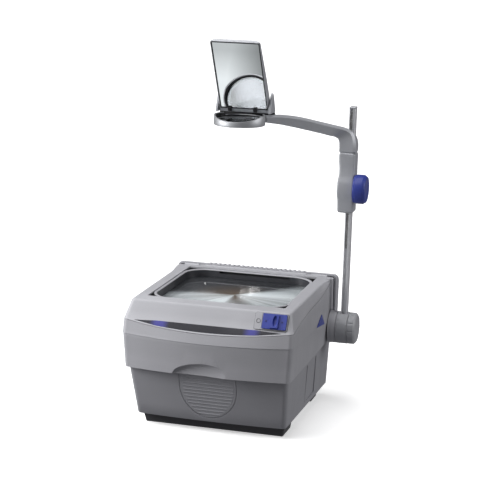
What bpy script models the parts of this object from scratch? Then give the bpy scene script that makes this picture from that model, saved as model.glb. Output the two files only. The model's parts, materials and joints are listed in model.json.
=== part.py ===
"""Overhead projector with a side mast, focusing head and hinged stage lid.

Lengths below are in millimetres and are turned into metres when a mesh is stored.
The working frame has its origin on the desk under the middle of the stage: +X right, +Y back, +Z up.
"""

import math

import bmesh
import bpy
from mathutils import Matrix, Vector

MM = 0.001
GAP = 0.35
SEAM_GAP = 0.9

# Driving sizes of the base.
STAGE_HALF = 127.0
TOP_HEIGHT = 239.0
TOP_FRONT = -158.0
LID_REAR = 141.5
WALL = 3.2
HOUSING_BOTTOM = 118.0
RIDGE_HALF = 155.0
RIDGE_FRONT = -179.0
RIDGE_BOW = 12.0
PANEL_BOTTOM = (-176.5, 207.5)
PANEL_TOP = (-159.5, 237.5)
HOUSING_REAR = 154.6
FLARE_FROM = 70.0
BASE_REAR = 194.0
BASE_FRONT = -196.0
COVER_HALF = 160.0
TUB_BOTTOM = 22.0
TUB_TOP = 128.0
FLOOR_TOP = 25.4

# Driving sizes of the mast, carriage and head.
MAST_X = 183.8
MAST_Y = 125.0
MAST_WIDE = 11.6
MAST_DEEP = 18.0
MAST_TOP = 566.5
PIVOT_HEIGHT = 147.0
HUB_RADIUS = 30.5
HUB_SPAN = (171.6, 193.5)
KNOB_SPAN = (193.9, 209.5)
CARRIAGE_X = (163.2, 194.0)
CARRIAGE_Y = (107.5, 141.5)
CARRIAGE_HEIGHT = (371.5, 483.0)
PINION_Y = 109.6
PINION_HEIGHT = 418.5
PINION_RADIUS = 8.0
PINION_TEETH = 12
RACK_TEETH = 62
FOCUS_KNOB_RADIUS = 27.3
FOCUS_KNOB_SPAN = (195.2, 219.0)
RING_RADIUS = 46.8
RING_HEIGHT = (539.0, 558.0)
MIRROR_AXIS = (37.0, 563.5)
MIRROR_LEAN = 31.0
MIRROR_LENGTH = 153.0
MIRROR_HALF = 46.0

# Fan and lamp.
FAN_CENTRE = (0.0, 122.0, 106.0)
FAN_HALF = 59.5
LID_AXIS = (146.5, 236.5)

# Joint axes: the origin of every moving body lies on its own axis.
BODY_AXES = {
    "base": (0.0, 0.0, 0.0),
    "stage_lid": (0.0, LID_AXIS[0], LID_AXIS[1]),
    "lamp_switch": (119.0, -168.0, 222.5),
    "mast": (MAST_X, MAST_Y, PIVOT_HEIGHT),
    "clamp_knob": (KNOB_SPAN[0], MAST_Y, PIVOT_HEIGHT),
    "head_carriage": (MAST_X, MAST_Y, CARRIAGE_HEIGHT[0]),
    "focus_drive": (FOCUS_KNOB_SPAN[0], PINION_Y, PINION_HEIGHT),
    "mirror": (0.0, MIRROR_AXIS[0], MIRROR_AXIS[1]),
    "fan": FAN_CENTRE,
}
BODY_PARENTS = {
    "base": None,
    "stage_lid": "base",
    "lamp_switch": "stage_lid",
    "mast": "base",
    "clamp_knob": "base",
    "head_carriage": "mast",
    "focus_drive": "head_carriage",
    "mirror": "head_carriage",
    "fan": "base",
}

# Puts the middle of the whole object's plan at the origin: rear cover to focus knob, crease to rear cover.
SHIFT = (
    -0.5 * (FOCUS_KNOB_SPAN[1] - COVER_HALF),
    -0.5 * (BASE_REAR + BASE_FRONT),
    0.0,
)

# Finishes: base colour, metallic, roughness.
FINISHES = {
    "grey_shell": ((0.44, 0.44, 0.47), 0.0, 0.5),
    "dark_shell": ((0.3, 0.3, 0.32), 0.0, 0.55),
    "charcoal": ((0.07, 0.07, 0.08), 0.0, 0.6),
    "black": ((0.02, 0.02, 0.02), 0.0, 0.5),
    "blue": ((0.07, 0.08, 0.4), 0.0, 0.4),
    "silver": ((0.7, 0.71, 0.73), 1.0, 0.3),
    "satin_paint": ((0.5, 0.51, 0.55), 0.2, 0.4),
    "steel": ((0.6, 0.6, 0.6), 1.0, 0.35),
    "brass": ((0.75, 0.6, 0.3), 1.0, 0.35),
    "ceramic": ((0.85, 0.83, 0.78), 0.0, 0.6),
    "glass": ((0.85, 0.9, 0.9), 0.0, 0.05),
    "mirror_face": ((0.9, 0.91, 0.92), 1.0, 0.03),
}

collection = None
cutters = None
empties = {}


def start_scene():
    """Empties the scene and makes the two collections and the joint empties."""
    global collection, cutters
    for obj in list(bpy.data.objects):
        bpy.data.objects.remove(obj, do_unlink=True)
    collection = bpy.data.collections.new("overhead_projector")
    cutters = bpy.data.collections.new("cutters")
    bpy.context.scene.collection.children.link(collection)
    bpy.context.scene.collection.children.link(cutters)
    cutters.hide_render = True
    for name, axis in BODY_AXES.items():
        empty = bpy.data.objects.new(name + "_axis", None)
        collection.objects.link(empty)
        parent = BODY_PARENTS[name]
        if parent is None:
            empty.location = Vector(SHIFT) * MM
        else:
            empty.parent = empties[parent]
            empty.location = (Vector(axis) - Vector(BODY_AXES[parent])) * MM
        empties[name] = empty


def material_for(node, finish):
    """One Principled material for a node."""
    colour, metallic, roughness = FINISHES[finish]
    material = bpy.data.materials.new(node)
    material.use_nodes = True
    shader = material.node_tree.nodes["Principled BSDF"]
    shader.inputs["Base Color"].default_value = (*colour, 1.0)
    shader.inputs["Metallic"].default_value = metallic
    shader.inputs["Roughness"].default_value = roughness
    material.diffuse_color = (*colour, 1.0)
    return material


def stored(mesh, name, centre):
    """A Blender mesh in metres, measured from a centre given in the working frame."""
    bmesh.ops.translate(mesh, verts=mesh.verts, vec=-Vector(centre))
    bmesh.ops.scale(mesh, verts=mesh.verts, vec=(MM, MM, MM))
    data = bpy.data.meshes.new(name)
    mesh.to_mesh(data)
    mesh.free()
    return data


def add(name, body, finish, mesh, bevel=0.0, segments=1, smooth=False):
    """Adds a node of a body from a mesh drawn in the working frame."""
    obj = bpy.data.objects.new(name, stored(mesh, name, BODY_AXES[body]))
    collection.objects.link(obj)
    obj.parent = empties[body]
    obj.data.materials.append(material_for(name, finish))
    if smooth:
        obj.data.shade_smooth()
    if bevel:
        edge = obj.modifiers.new("edge", "BEVEL")
        edge.width = bevel * MM
        edge.segments = segments
        edge.limit_method = "ANGLE"
        edge.angle_limit = math.radians(40)
    return obj


def combine(obj, operation, mesh, label):
    """Adds an exact Boolean with a helper solid drawn in the working frame."""
    helper = bpy.data.objects.new(obj.name + "_" + label, stored(mesh, label, (0, 0, 0)))
    cutters.objects.link(helper)
    helper.parent = empties["base"]
    helper.display_type = "WIRE"
    helper.hide_render = True
    step = obj.modifiers.new(label, "BOOLEAN")
    step.operation = operation
    step.solver = "EXACT"
    step.object = helper
    return obj


def cut(obj, mesh, label):
    return combine(obj, "DIFFERENCE", mesh, label)


def join(obj, mesh, label):
    return combine(obj, "UNION", mesh, label)


def slab(x, y, z):
    """A box between three pairs of limits."""
    mesh = bmesh.new()
    bmesh.ops.create_cube(mesh, size=1.0)
    size = (x[1] - x[0], y[1] - y[0], z[1] - z[0])
    middle = ((x[0] + x[1]) / 2, (y[0] + y[1]) / 2, (z[0] + z[1]) / 2)
    bmesh.ops.scale(mesh, verts=mesh.verts, vec=size)
    bmesh.ops.translate(mesh, verts=mesh.verts, vec=middle)
    return mesh


def merged(meshes):
    """Several separate solids in one mesh, for a cutter."""
    whole = bmesh.new()
    for mesh in meshes:
        data = bpy.data.meshes.new("piece")
        mesh.to_mesh(data)
        mesh.free()
        whole.from_mesh(data)
        bpy.data.meshes.remove(data)
    return whole


def rod(axis, centre, span, radius, sides=24):
    """A cylinder along one axis between two limits on that axis."""
    mesh = bmesh.new()
    bmesh.ops.create_cone(
        mesh,
        cap_ends=True,
        segments=sides,
        radius1=radius,
        radius2=radius,
        depth=span[1] - span[0],
    )
    matrices = {
        "x": Matrix.Rotation(math.pi / 2, 3, "Y"),
        "y": Matrix.Rotation(-math.pi / 2, 3, "X"),
        "z": Matrix.Identity(3),
    }
    bmesh.ops.rotate(mesh, verts=mesh.verts, cent=(0, 0, 0), matrix=matrices[axis])
    middle = list(centre)
    middle["xyz".index(axis)] = (span[0] + span[1]) / 2
    bmesh.ops.translate(mesh, verts=mesh.verts, vec=middle)
    return mesh


def loft(rings, loop=False):
    """Skins a list of equal rings, closed by end caps or by joining the last ring to the first."""
    mesh = bmesh.new()
    rows = [[mesh.verts.new(point) for point in ring] for ring in rings]
    pairs = list(zip(rows, rows[1:]))
    if loop:
        pairs.append((rows[-1], rows[0]))
    for low, high in pairs:
        for i in range(len(low)):
            mesh.faces.new((low[i - 1], low[i], high[i], high[i - 1]))
    if not loop:
        mesh.faces.new(list(reversed(rows[0])))
        mesh.faces.new(rows[-1])
    bmesh.ops.recalc_face_normals(mesh, faces=mesh.faces)
    return mesh


def prism(points, x):
    """A polygon in the YZ plane pushed from one X to another."""
    return loft([[(x[0], y, z) for y, z in points], [(x[1], y, z) for y, z in points]])


def turned(name, body, finish, centre, axis, profile, steps=32):
    """A Screw solid. The profile holds (radius, distance along the axis from the centre)."""
    mesh = bmesh.new()
    points = [mesh.verts.new((radius * MM, 0.0, along * MM)) for radius, along in profile]
    for first, second in zip(points, points[1:]):
        mesh.edges.new((first, second))
    if profile[0][0] > 0:
        mesh.edges.new((points[-1], points[0]))
    data = bpy.data.meshes.new(name)
    mesh.to_mesh(data)
    mesh.free()
    obj = bpy.data.objects.new(name, data)
    collection.objects.link(obj)
    obj.parent = empties[body]
    obj.location = (Vector(centre) - Vector(BODY_AXES[body])) * MM
    if axis == "x":
        obj.rotation_euler = (0, math.pi / 2, 0)
    if axis == "y":
        obj.rotation_euler = (-math.pi / 2, 0, 0)
    spin = obj.modifiers.new("spin", "SCREW")
    spin.steps = steps
    spin.render_steps = steps
    spin.use_merge_vertices = True
    spin.merge_threshold = 0.00001
    obj.data.materials.append(material_for(name, finish))
    return obj


def table_value(table, at):
    """Straight-line reading of a table of (position, value) pairs."""
    if at <= table[0][0]:
        return table[0][1]
    for (x0, v0), (x1, v1) in zip(table, table[1:]):
        if at <= x1:
            return v0 + (v1 - v0) * (at - x0) / (x1 - x0)
    return table[-1][1]


def arc(cx, cy, radius, start, end, steps):
    """Points on an arc in degrees, both ends included."""
    points = []
    for i in range(steps + 1):
        angle = math.radians(start + (end - start) * i / steps)
        points.append((cx + radius * math.cos(angle), cy + radius * math.sin(angle)))
    return points


def outline(half_front, half_rear, front, rear, bow, radius, flare=0.0, sides=8):
    """Plan outline of the base, counter-clockwise from the middle of the front.

    The front bows out, and the sides can flare over the last part before the rear.
    """
    flat = half_front - radius
    right = [(flat * i / 5, front - bow * (1 - (i / 5) ** 2)) for i in range(5)]
    right += arc(flat, front + radius, radius, -90, 0, 4)
    lean = (half_rear - half_front) / (rear - front)
    for i in range(1, sides):
        y = front + radius + (rear - front - 2 * radius) * i / sides
        spread = flare * max(0.0, (y - FLARE_FROM) / (rear - FLARE_FROM))
        right.append((half_front + lean * (y - front) + spread, y))
    right += arc(half_rear + flare - radius, rear - radius, radius, 0, 90, 3)
    left = [(-x, y) for x, y in reversed(right[1:])]
    return right + left


def inset(points, by):
    """The same outline drawn a wall thickness further in."""
    result = []
    count = len(points)
    for i in range(count):
        before = Vector(points[i - 1])
        here = Vector(points[i])
        after = Vector(points[(i + 1) % count])
        tangent = (after - before).normalized()
        result.append((here.x - tangent.y * by, here.y + tangent.x * by))
    return result


SEAM_SIDE = (
    (-180, 205.0),
    (-150, 209.5),
    (-110, 214.5),
    (-60, 218.5),
    (0, 219.5),
    (50, 222.5),
    (100, 229.0),
    (135, 235.0),
    (150, 235.8),
)
CREASE_SIDE = (
    (-180, 181.0),
    (-84, 179.0),
    (-28, 176.0),
    (41, 165.5),
    (85, 160.5),
    (155, 159.0),
)


def seam_height(x, y):
    """Height of the seam under the lid: dipping at the front, S-shaped along the sides."""
    if y < RIDGE_FRONT + 1:
        return 205.0 - 10.5 * (1 - min(1.0, abs(x) / 146.0) ** 2)
    return table_value(SEAM_SIDE, y)


def crease_height(x, y):
    """Height of the crease around the housing, under the ridge."""
    if y < RIDGE_FRONT + 1:
        return 181.0 - 3.0 * (1 - min(1.0, abs(x) / 146.0) ** 2)
    return table_value(CREASE_SIDE, y)


def ring_at(points, height):
    """Lifts a plan outline to a height, given as a number or as a function of the plan position."""
    if callable(height):
        return [(x, y, height(x, y)) for x, y in points]
    return [(x, y, height) for x, y in points]


def seam_outline(rear):
    return outline(RIDGE_HALF, 155.2, RIDGE_FRONT, rear, RIDGE_BOW, 9)


# ---- Base ----


def rim_height(x, y):
    """The tub's rim stands inside the housing, and stays below the rear cover."""
    return TUB_TOP if y < 100 else HOUSING_BOTTOM - 0.6


def waist_height(x, y):
    return min(113.0, rim_height(x, y) - 4.0)


def make_tub():
    low = outline(139, 146, -141, 166, 5, 8)
    waist = outline(146.4, 147.2, -168, 182, 5, 8)
    high = outline(147, 147.4, -170, 183, 5, 8)
    rings = [
        ring_at(low, TUB_BOTTOM),
        ring_at(waist, waist_height),
        ring_at(high, rim_height),
        ring_at(inset(high, 3.0), rim_height),
        ring_at(inset(waist, 3.0), waist_height),
        ring_at(inset(low, 3.0), FLOOR_TOP - GAP),
    ]
    tub = add("lower_tub", "base", "dark_shell", loft(rings))
    cut(tub, slab((-70, 70), (-40, 100), (TUB_BOTTOM - 2, FLOOR_TOP + 2)), "floor_opening")
    add(
        "bottom_plate",
        "base",
        "steel",
        slab((-85, 85), (-55, 115), (TUB_BOTTOM - GAP - 2, TUB_BOTTOM - GAP)),
        bevel=0.6,
    )


def make_feet():
    top = TUB_BOTTOM - GAP
    front_low = [(-129, -118), (129, -118), (130, -64.5), (-130, -64.5)]
    front_high = [(-133, -124), (133, -124), (133, -64.5), (-133, -64.5)]
    rings = [[(x, y, 0) for x, y in front_low], [(x, y, top) for x, y in front_high]]
    add("front_foot", "base", "charcoal", loft(rings), bevel=1.5)
    for side, name in ((1, "rear_foot_right"), (-1, "rear_foot_left")):
        low = [(side * 96, 99), (side * 131, 99), (side * 131.5, 139), (side * 96, 139)]
        high = [(side * 95, 98), (side * 134, 98), (side * 134, 141), (side * 95, 141)]
        rings = [[(x, y, 0) for x, y in low], [(x, y, top) for x, y in high]]
        add(name, "base", "charcoal", loft(rings), bevel=1.5)


def make_housing():
    bottom = outline(151.5, 153.5, -178, HOUSING_REAR, RIDGE_BOW, 9)
    crease = outline(156.2, 156.5, -183, HOUSING_REAR, 13, 10)
    seam = seam_outline(HOUSING_REAR)
    rings = [
        ring_at(bottom, HOUSING_BOTTOM),
        ring_at(crease, crease_height),
        ring_at(seam, seam_height),
        ring_at(inset(seam, WALL), seam_height),
        ring_at(inset(crease, WALL), crease_height),
        ring_at(inset(bottom, WALL), HOUSING_BOTTOM),
    ]
    housing = add("upper_housing", "base", "grey_shell", loft(rings, loop=True))
    scoop = bmesh.new()
    bmesh.ops.create_uvsphere(scoop, u_segments=24, v_segments=12, radius=1.0)
    bmesh.ops.scale(scoop, verts=scoop.verts, vec=(53, 9, 23))
    bmesh.ops.translate(scoop, verts=scoop.verts, vec=(-6, -191, HOUSING_BOTTOM))
    cut(housing, scoop, "hand_scoop")
    cut(housing, slab((-62, 62), (HOUSING_REAR - 8, HOUSING_REAR + 4), (100, 182)), "air_opening")


def make_grip():
    """Half-oval finger plate with ribs, lying on the sloping face of the tub."""
    top, bottom, centre, half = 140.0, 31.0, 1.0, 52.0
    slope = (168.0 - 141.0) / (113.0 - TUB_BOTTOM)
    heights = [top, 95.0, 83.0, 71.0, 60.0, 50.0, 42.0, 36.0, bottom]
    rings = []
    for lift in (-5.6, -7.4):
        right, left = [], []
        for height in heights:
            fall = max(0.0, (95.0 - height) / 64.0)
            reach = half * math.sqrt(max(0.04, 1 - fall * fall))
            y = -141.0 - slope * (height - TUB_BOTTOM) + lift
            right.append((centre + reach, y, height))
            left.append((centre - reach, y, height))
        rings.append(right + list(reversed(left)))
    grip = add("grip_plate", "base", "dark_shell", loft(rings))
    ribs = []
    for i in range(7):
        height = 102.0 - i * 8.6
        y = -141.0 - slope * (height - TUB_BOTTOM) - 7.6
        fall = max(0.0, (95.0 - height) / 64.0)
        reach = half * math.sqrt(1 - fall * fall) - 5
        across = (centre - reach, centre + reach)
        ribs.append(slab(across, (y - 0.7, y + 0.9), (height - 1.1, height + 1.1)))
    join(grip, merged(ribs), "ribs")


def make_side_inlays():
    """Two blue triangles just proud of the housing sides."""
    for side, name in ((1, "side_inlay_right"), (-1, "side_inlay_left")):
        points = [(45.0, 189.0), (4.0, 173.5), (70.0, 165.0)]
        rings = []
        for out in (0.3, 1.0):
            rings.append([(side * (side_half(y, z) + out), y, z) for y, z in points])
        add(name, "base", "blue", loft(rings))


def side_half(y, z):
    """Half width of the housing side between crease and seam."""
    crease = crease_height(156, y)
    seam = seam_height(150, y)
    share = min(1.0, max(0.0, (z - crease) / (seam - crease)))
    return 156.5 + (155.2 - 156.5) * share


def make_rear_cover():
    """Hollow back of the base with exhaust louvres and a place for the power inlet."""
    sections = [
        (HOUSING_REAR + GAP, COVER_HALF - 1.5, HOUSING_BOTTOM, 240.5, 7),
        (160, COVER_HALF, HOUSING_BOTTOM, 240.5, 7),
        (172, COVER_HALF, HOUSING_BOTTOM, 238.5, 8),
        (184, COVER_HALF - 1.5, 119.5, 231.5, 9),
        (191, COVER_HALF - 5.5, 123.0, 222.0, 10),
        (BASE_REAR, COVER_HALF - 11.5, 129.0, 213.0, 10),
    ]
    outer = [cover_ring(y, half, low, high, radius) for y, half, low, high, radius in sections]
    inner = []
    for y, half, low, high, radius in reversed(sections[:-1]):
        inner.append(cover_ring(min(y, 190.5), half - 3.2, low + 3.2, high - 3.2, radius - 2.5))
    cover = add("rear_cover", "base", "grey_shell", loft(inner + outer))
    slots = []
    for row in range(7):
        z = 142.0 + row * 9.0
        for left, right in ((-52, -3), (3, 52)):
            slots.append(slab((left, right), (187, 198), (z, z + 4.5)))
    cut(cover, merged(slots), "louvres")
    cut(cover, slab((-130.3, -81.7), (185, 198), (139.7, 168.3)), "inlet_opening")
    relief = rod("x", (0, MAST_Y, PIVOT_HEIGHT), (150, 170), HUB_RADIUS + 2.2, 40)
    cut(cover, relief, "boss_relief")


def cover_ring(y, half, low, high, radius):
    """Rounded rectangle in the XZ plane."""
    corners = ((1, 1), (-1, 1), (-1, -1), (1, -1))
    ring = []
    for index, (sx, sz) in enumerate(corners):
        cx = sx * (half - radius)
        cz = (high - radius) if sz > 0 else (low + radius)
        for x, z in arc(cx, cz, radius, 90 * index, 90 * index + 90, 3):
            ring.append((x, y, z))
    return ring


def make_hinge_rail():
    """Ribbed rail behind the lid that holds the hinge pins."""
    y, z = LID_AXIS
    crown = arc(y, z, 4.5, 180, 45, 5)
    profile = [(150.6, 226.0), (y - 4.5, 226.0)] + crown + [(150.6, 238.6)]
    rail = add("hinge_rail", "base", "grey_shell", prism(profile, (-142.5, 142.5)))
    ribs = [slab((-88 + i * 9.0, -84 + i * 9.0), (y - 1.3, 149.8), (z + 2.0, z + 4.8)) for i in range(20)]
    join(rail, merged(ribs), "ribs")
    notches = [slab((side * 108 - 5.5, side * 108 + 5.5), (138, 154), (231.8, 246)) for side in (-1, 1)]
    cut(rail, merged(notches), "notches")
    bores = [rod("x", (0, *LID_AXIS), (side * 108 - 12, side * 108 + 12), 2.6, 12) for side in (-1, 1)]
    cut(rail, merged(bores), "bores")
    for side, name in ((-1, "lid_pin_left"), (1, "lid_pin_right")):
        pin = rod("x", (0, *LID_AXIS), (side * 108 - 11.5, side * 108 + 11.5), 2.5, 12)
        add(name, "base", "steel", pin, smooth=True)


def make_boss():
    profile = [(0, 13.6), (HUB_RADIUS, 13.6), (HUB_RADIUS, 3.0), (HUB_RADIUS + 1.5, 0.0), (0, 0.0)]
    boss = turned("mast_boss", "base", "grey_shell", (157.6, MAST_Y, PIVOT_HEIGHT), "x", profile, 40)
    cut(boss, rod("x", (0, MAST_Y, PIVOT_HEIGHT), (150, 180), 5.1, 16), "bore")
    bolt = rod("x", (0, MAST_Y, PIVOT_HEIGHT), (158.5, 203.0), 5.0, 16)
    add("pivot_bolt", "base", "steel", bolt, smooth=True)


# ---- Inside the base ----


def square_tube(half, wall, low, high):
    corners = ((-1, -1), (1, -1), (1, 1), (-1, 1))
    outer = [(x * half, y * half) for x, y in corners]
    inner = [(x * (half - wall), y * (half - wall)) for x, y in corners]
    return loft(
        [
            ring_at(outer, low),
            ring_at(outer, high),
            ring_at(inner, high),
            ring_at(inner, low),
        ],
        loop=True,
    )


def make_lamp_unit():
    tray = slab((-66, 66), (-66, 66), (FLOOR_TOP + 0.2, FLOOR_TOP + 2.2))
    add("lamp_tray", "base", "steel", tray, bevel=0.5)
    floor = FLOOR_TOP + 2.2 + GAP
    add("lamp_house", "base", "steel", square_tube(62, 1.6, floor, 150.0))
    socket = slab((-13, 13), (-11, 11), (floor, 46.0))
    add("lamp_socket", "base", "ceramic", socket, bevel=1.5)
    profile = [(0, 38), (3, 37), (6.2, 32), (6.5, 6), (4.5, 0.5), (4.5, 0), (0, 0)]
    turned("lamp", "base", "glass", (0, 0, 46.0 + GAP), "z", profile, 20)
    bowl = [(44, 24), (41, 14), (32, 5), (9.5, 1), (9.5, 0), (33, 3.6), (42.5, 13), (45.5, 24)]
    turned("lamp_reflector", "base", "mirror_face", (0, 0, 48.5), "z", bowl[::-1], 32)
    frame = add("condenser_frame", "base", "steel", slab((-60, 60), (-60, 60), (104, 107)))
    cut(frame, rod("z", (0, 0, 0), (98, 112), 43, 32), "light_hole")
    add("heat_glass", "base", "glass", slab((-52, 52), (-52, 52), (100.2, 103.6)), bevel=0.6)
    dome = [(0, 17), (18, 15), (34, 9.5), (48, 2.5), (48, 0), (0, 0)]
    turned("condenser_lens", "base", "glass", (0, 0, 107 + GAP), "z", dome, 32)
    can = rod("x", (0, -20, 92), (62.4, 71.0), 8, 20)
    add("thermal_switch", "base", "steel", can, bevel=0.8)
    block = slab((80, 118), (-60, -10), (FLOOR_TOP + 0.2, 47))
    add("terminal_block", "base", "black", block, bevel=1.0)
    inlet = add("power_inlet", "base", "black", slab((-130, -82), (165, 193.6), (140, 168)), bevel=1.0)
    cut(inlet, slab((-119, -93), (181, 198), (146, 162)), "socket")


def make_fan():
    x, y, z = FAN_CENTRE
    span = (x - FAN_HALF, x + FAN_HALF)
    square = slab(span, (110, 135), (z - FAN_HALF, z + FAN_HALF))
    frame = add("fan_frame", "base", "black", square, bevel=1.5)
    cut(frame, rod("y", FAN_CENTRE, (100, 145), 55, 36), "duct")
    join(frame, slab((x - 56, x + 56), (131, 134.6), (z - 3, z + 3)), "strut_across")
    join(frame, slab((x - 3, x + 3), (131, 134.6), (z - 56, z + 56)), "strut_up")
    add("fan_motor", "base", "steel", rod("y", FAN_CENTRE, (124.2, 130.7), 15, 24), bevel=0.8)
    rotor = add("fan_rotor", "fan", "charcoal", rod("y", FAN_CENTRE, (112.0, 123.8), 20, 24), bevel=1.0)
    for i in range(5):
        blade = slab((15, 51), (-0.7, 0.7), (-12.5, 12.5))
        pitch = Matrix.Rotation(math.radians(20), 3, "X")
        bmesh.ops.rotate(blade, verts=blade.verts, cent=(0, 0, 0), matrix=pitch)
        around = Matrix.Rotation(math.radians(72 * i), 3, "Y")
        bmesh.ops.rotate(blade, verts=blade.verts, cent=(0, 0, 0), matrix=around)
        bmesh.ops.translate(blade, verts=blade.verts, vec=(x, 117.8, z))
        join(rotor, blade, "blade_%d" % i)


# ---- Stage lid ----


def make_lid():
    seam = seam_outline(LID_REAR)
    panel = outline(154.0, 154.6, -176.5, LID_REAR, 0.5, 8)
    shoulder = outline(147.0, 148.2, PANEL_TOP[0], LID_REAR, 0, 7, flare=5.8)
    crown = outline(145.6, 147.0, TOP_FRONT, LID_REAR - 1.2, 0, 6, flare=5.8)

    def over_seam(x, y):
        return min(seam_height(x, y) + SEAM_GAP, 236.8)

    def over_panel(x, y):
        if y < -172:
            return PANEL_BOTTOM[1] + 0.4
        return min(seam_height(x, y) + 3.4, 237.2)

    rings = [
        ring_at(inset(crown, 4.5), TOP_HEIGHT - WALL),
        ring_at(inset(panel, 4.2), lambda x, y: min(over_panel(x, y), 234.0)),
        ring_at(inset(seam, WALL), over_seam),
        ring_at(seam, over_seam),
        ring_at(panel, over_panel),
        ring_at(shoulder, PANEL_TOP[1]),
        ring_at(crown, TOP_HEIGHT),
    ]
    lid = add("stage_lid", "stage_lid", "grey_shell", loft(rings))
    hole = STAGE_HALF + 0.4
    cut(lid, slab((-hole, hole), (-hole, hole), (226, 246)), "stage_opening")
    lug = [
        (136.5, 233.0),
        (148.0, 233.0),
        (149.6, 235.0),
        (149.6, 238.4),
        (148.0, 240.0),
        (136.5, 238.0),
    ]
    lugs = [prism(lug, (side * 108 - 5, side * 108 + 5)) for side in (-1, 1)]
    join(lid, merged(lugs), "lugs")
    cut(lid, rod("x", (0, *LID_AXIS), (-120, 120), 2.6, 12), "pin_bore")


def make_stage_inserts():
    """Window frame with round corners, the glass on its ledge and the lens sheet below it."""
    outer_half, inner_half = 126.8, 122.0

    def window(half, radius, height):
        ring = []
        for index, (sx, sy) in enumerate(((1, -1), (1, 1), (-1, 1), (-1, -1))):
            start = -90 + 90 * index
            for x, y in arc(sx * (half - radius), sy * (half - radius), radius, start, start + 90, 6):
                ring.append((x, y, height))
        return ring

    rings = [
        window(outer_half, 44, 237.3),
        window(inner_half + 2, 42, 237.3),
        window(inner_half, 40, 236.2),
        window(inner_half, 40, 220.6),
        window(inner_half - 4, 36, 220.6),
        window(inner_half - 4, 36, 214.6),
        window(outer_half, 44, 214.6),
    ]
    frame = add("window_frame", "stage_lid", "grey_shell", loft(rings, loop=True))
    cut(frame, slab((-65, 75), (116, 134), (230.4, 235.4)), "film_slot")
    pane = loft([window(121.6, 39.6, 221.0), window(121.6, 39.6, 224.0)])
    add("stage_glass", "stage_lid", "glass", pane)
    sheet = loft([window(117.6, 35.6, 217.4), window(117.6, 35.6, 220.4)])
    add("fresnel_lens", "stage_lid", "glass", sheet)


def panel_point(x, along, out):
    """A point on the sloping front panel: distance up from its lower edge and out from its face."""
    run = Vector((PANEL_TOP[0] - PANEL_BOTTOM[0], PANEL_TOP[1] - PANEL_BOTTOM[1]))
    up = run.normalized()
    y = PANEL_BOTTOM[0] + up.x * along - up.y * out
    z = PANEL_BOTTOM[1] + up.y * along + up.x * out
    return (x, y, z)


def panel_block(x, along, out):
    """A box on the front panel."""
    rings = []
    for side in x:
        corners = ((along[0], out[0]), (along[1], out[0]), (along[1], out[1]), (along[0], out[1]))
        rings.append([panel_point(side, a, o) for a, o in corners])
    return loft(rings)


def make_front_trim():
    """Dark crescent under the front panel with two blue marks, and the switch with its surround."""
    rings = []
    for i in range(13):
        x = -132 + 22 * i
        share = 1 - (x / 146.0) ** 2
        y_in, z_in = PANEL_BOTTOM[0] - 0.6, PANEL_BOTTOM[1] + 0.4
        y_out = RIDGE_FRONT - RIDGE_BOW * share
        z_out = 205.0 - 10.5 * share + 0.35
        start, end = 0.02, 0.8
        low = (x, y_in + (y_out - y_in) * end - 0.9, z_in + (z_out - z_in) * end + 0.9)
        high = (x, y_in + (y_out - y_in) * start - 0.9, z_in + (z_out - z_in) * start + 0.9)
        rings.append([low, high, (x, high[1] - 0.5, high[2] + 0.5), (x, low[1] - 0.5, low[2] + 0.5)])
    add("badge_strip", "stage_lid", "charcoal", loft(rings))
    add("switch_surround", "stage_lid", "grey_shell", panel_block((84, 143), (2.5, 33.0), (0.8, 2.0)))
    slider = panel_block((98, 141), (4.0, 31.5), (2.4, 4.4))
    slider = add("switch_slider", "lamp_switch", "blue", slider, bevel=0.5)
    join(slider, panel_block((112, 127), (6.5, 29.5), (4.0, 8.0)), "thumb_block")


# ---- Mast ----


def make_mast():
    x0, x1 = MAST_X - MAST_WIDE / 2, MAST_X + MAST_WIDE / 2
    y0, y1 = MAST_Y - MAST_DEEP / 2, MAST_Y + MAST_DEEP / 2
    slot = (x0 + 2.4, x0 + 7.2)
    section = [
        (x0 + 1, y0), (slot[0], y0), (slot[0], y0 + 4.2), (slot[1], y0 + 4.2), (slot[1], y0), (x1 - 1, y0),
        (x1, y0 + 1), (x1, y1 - 1), (x1 - 1, y1), (x0 + 1, y1), (x0, y1 - 1), (x0, y0 + 1),
    ]
    rings = [[(x, y, z) for x, y in section] for z in (156.5, MAST_TOP)]
    add("mast", "mast", "silver", loft(rings))
    cap = slab((x0 - 0.4, x1 + 0.4), (y0 - 0.4, y1 + 0.4), (MAST_TOP + 0.3, MAST_TOP + 3.3))
    add("mast_cap", "mast", "charcoal", cap, bevel=0.8)
    pitch = 2 * math.pi * PINION_RADIUS / PINION_TEETH
    base = PINION_HEIGHT - 27.75 * pitch
    teeth = [(y0 + 3.9, base)]
    for i in range(RACK_TEETH):
        z = base + i * pitch
        teeth += [(y0 + 2.6, z), (y0 + 1.0, z + 0.75), (y0 + 1.0, z + 1.35), (y0 + 2.6, z + 2.1)]
    teeth.append((y0 + 3.9, teeth[-1][1]))
    add("focus_rack", "mast", "steel", prism(teeth, (slot[0] + 0.3, slot[1] - 0.3)))
    hub = turned(
        "pivot_hub",
        "mast",
        "grey_shell",
        (HUB_SPAN[0], MAST_Y, PIVOT_HEIGHT),
        "x",
        [
            (0, HUB_SPAN[1] - HUB_SPAN[0]),
            (HUB_RADIUS - 0.6, HUB_SPAN[1] - HUB_SPAN[0]),
            (HUB_RADIUS, HUB_SPAN[1] - HUB_SPAN[0] - 0.8),
            (HUB_RADIUS, 0.8),
            (HUB_RADIUS - 0.6, 0),
            (0, 0),
        ],
        40,
    )
    cut(hub, rod("x", (0, MAST_Y, PIVOT_HEIGHT), (165, 198), 5.1, 16), "bore")
    pocket = slab((x0 - GAP, x1 + GAP), (y0 - GAP, y1 + GAP), (156.2, 190))
    cut(hub, pocket, "mast_pocket")


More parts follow.
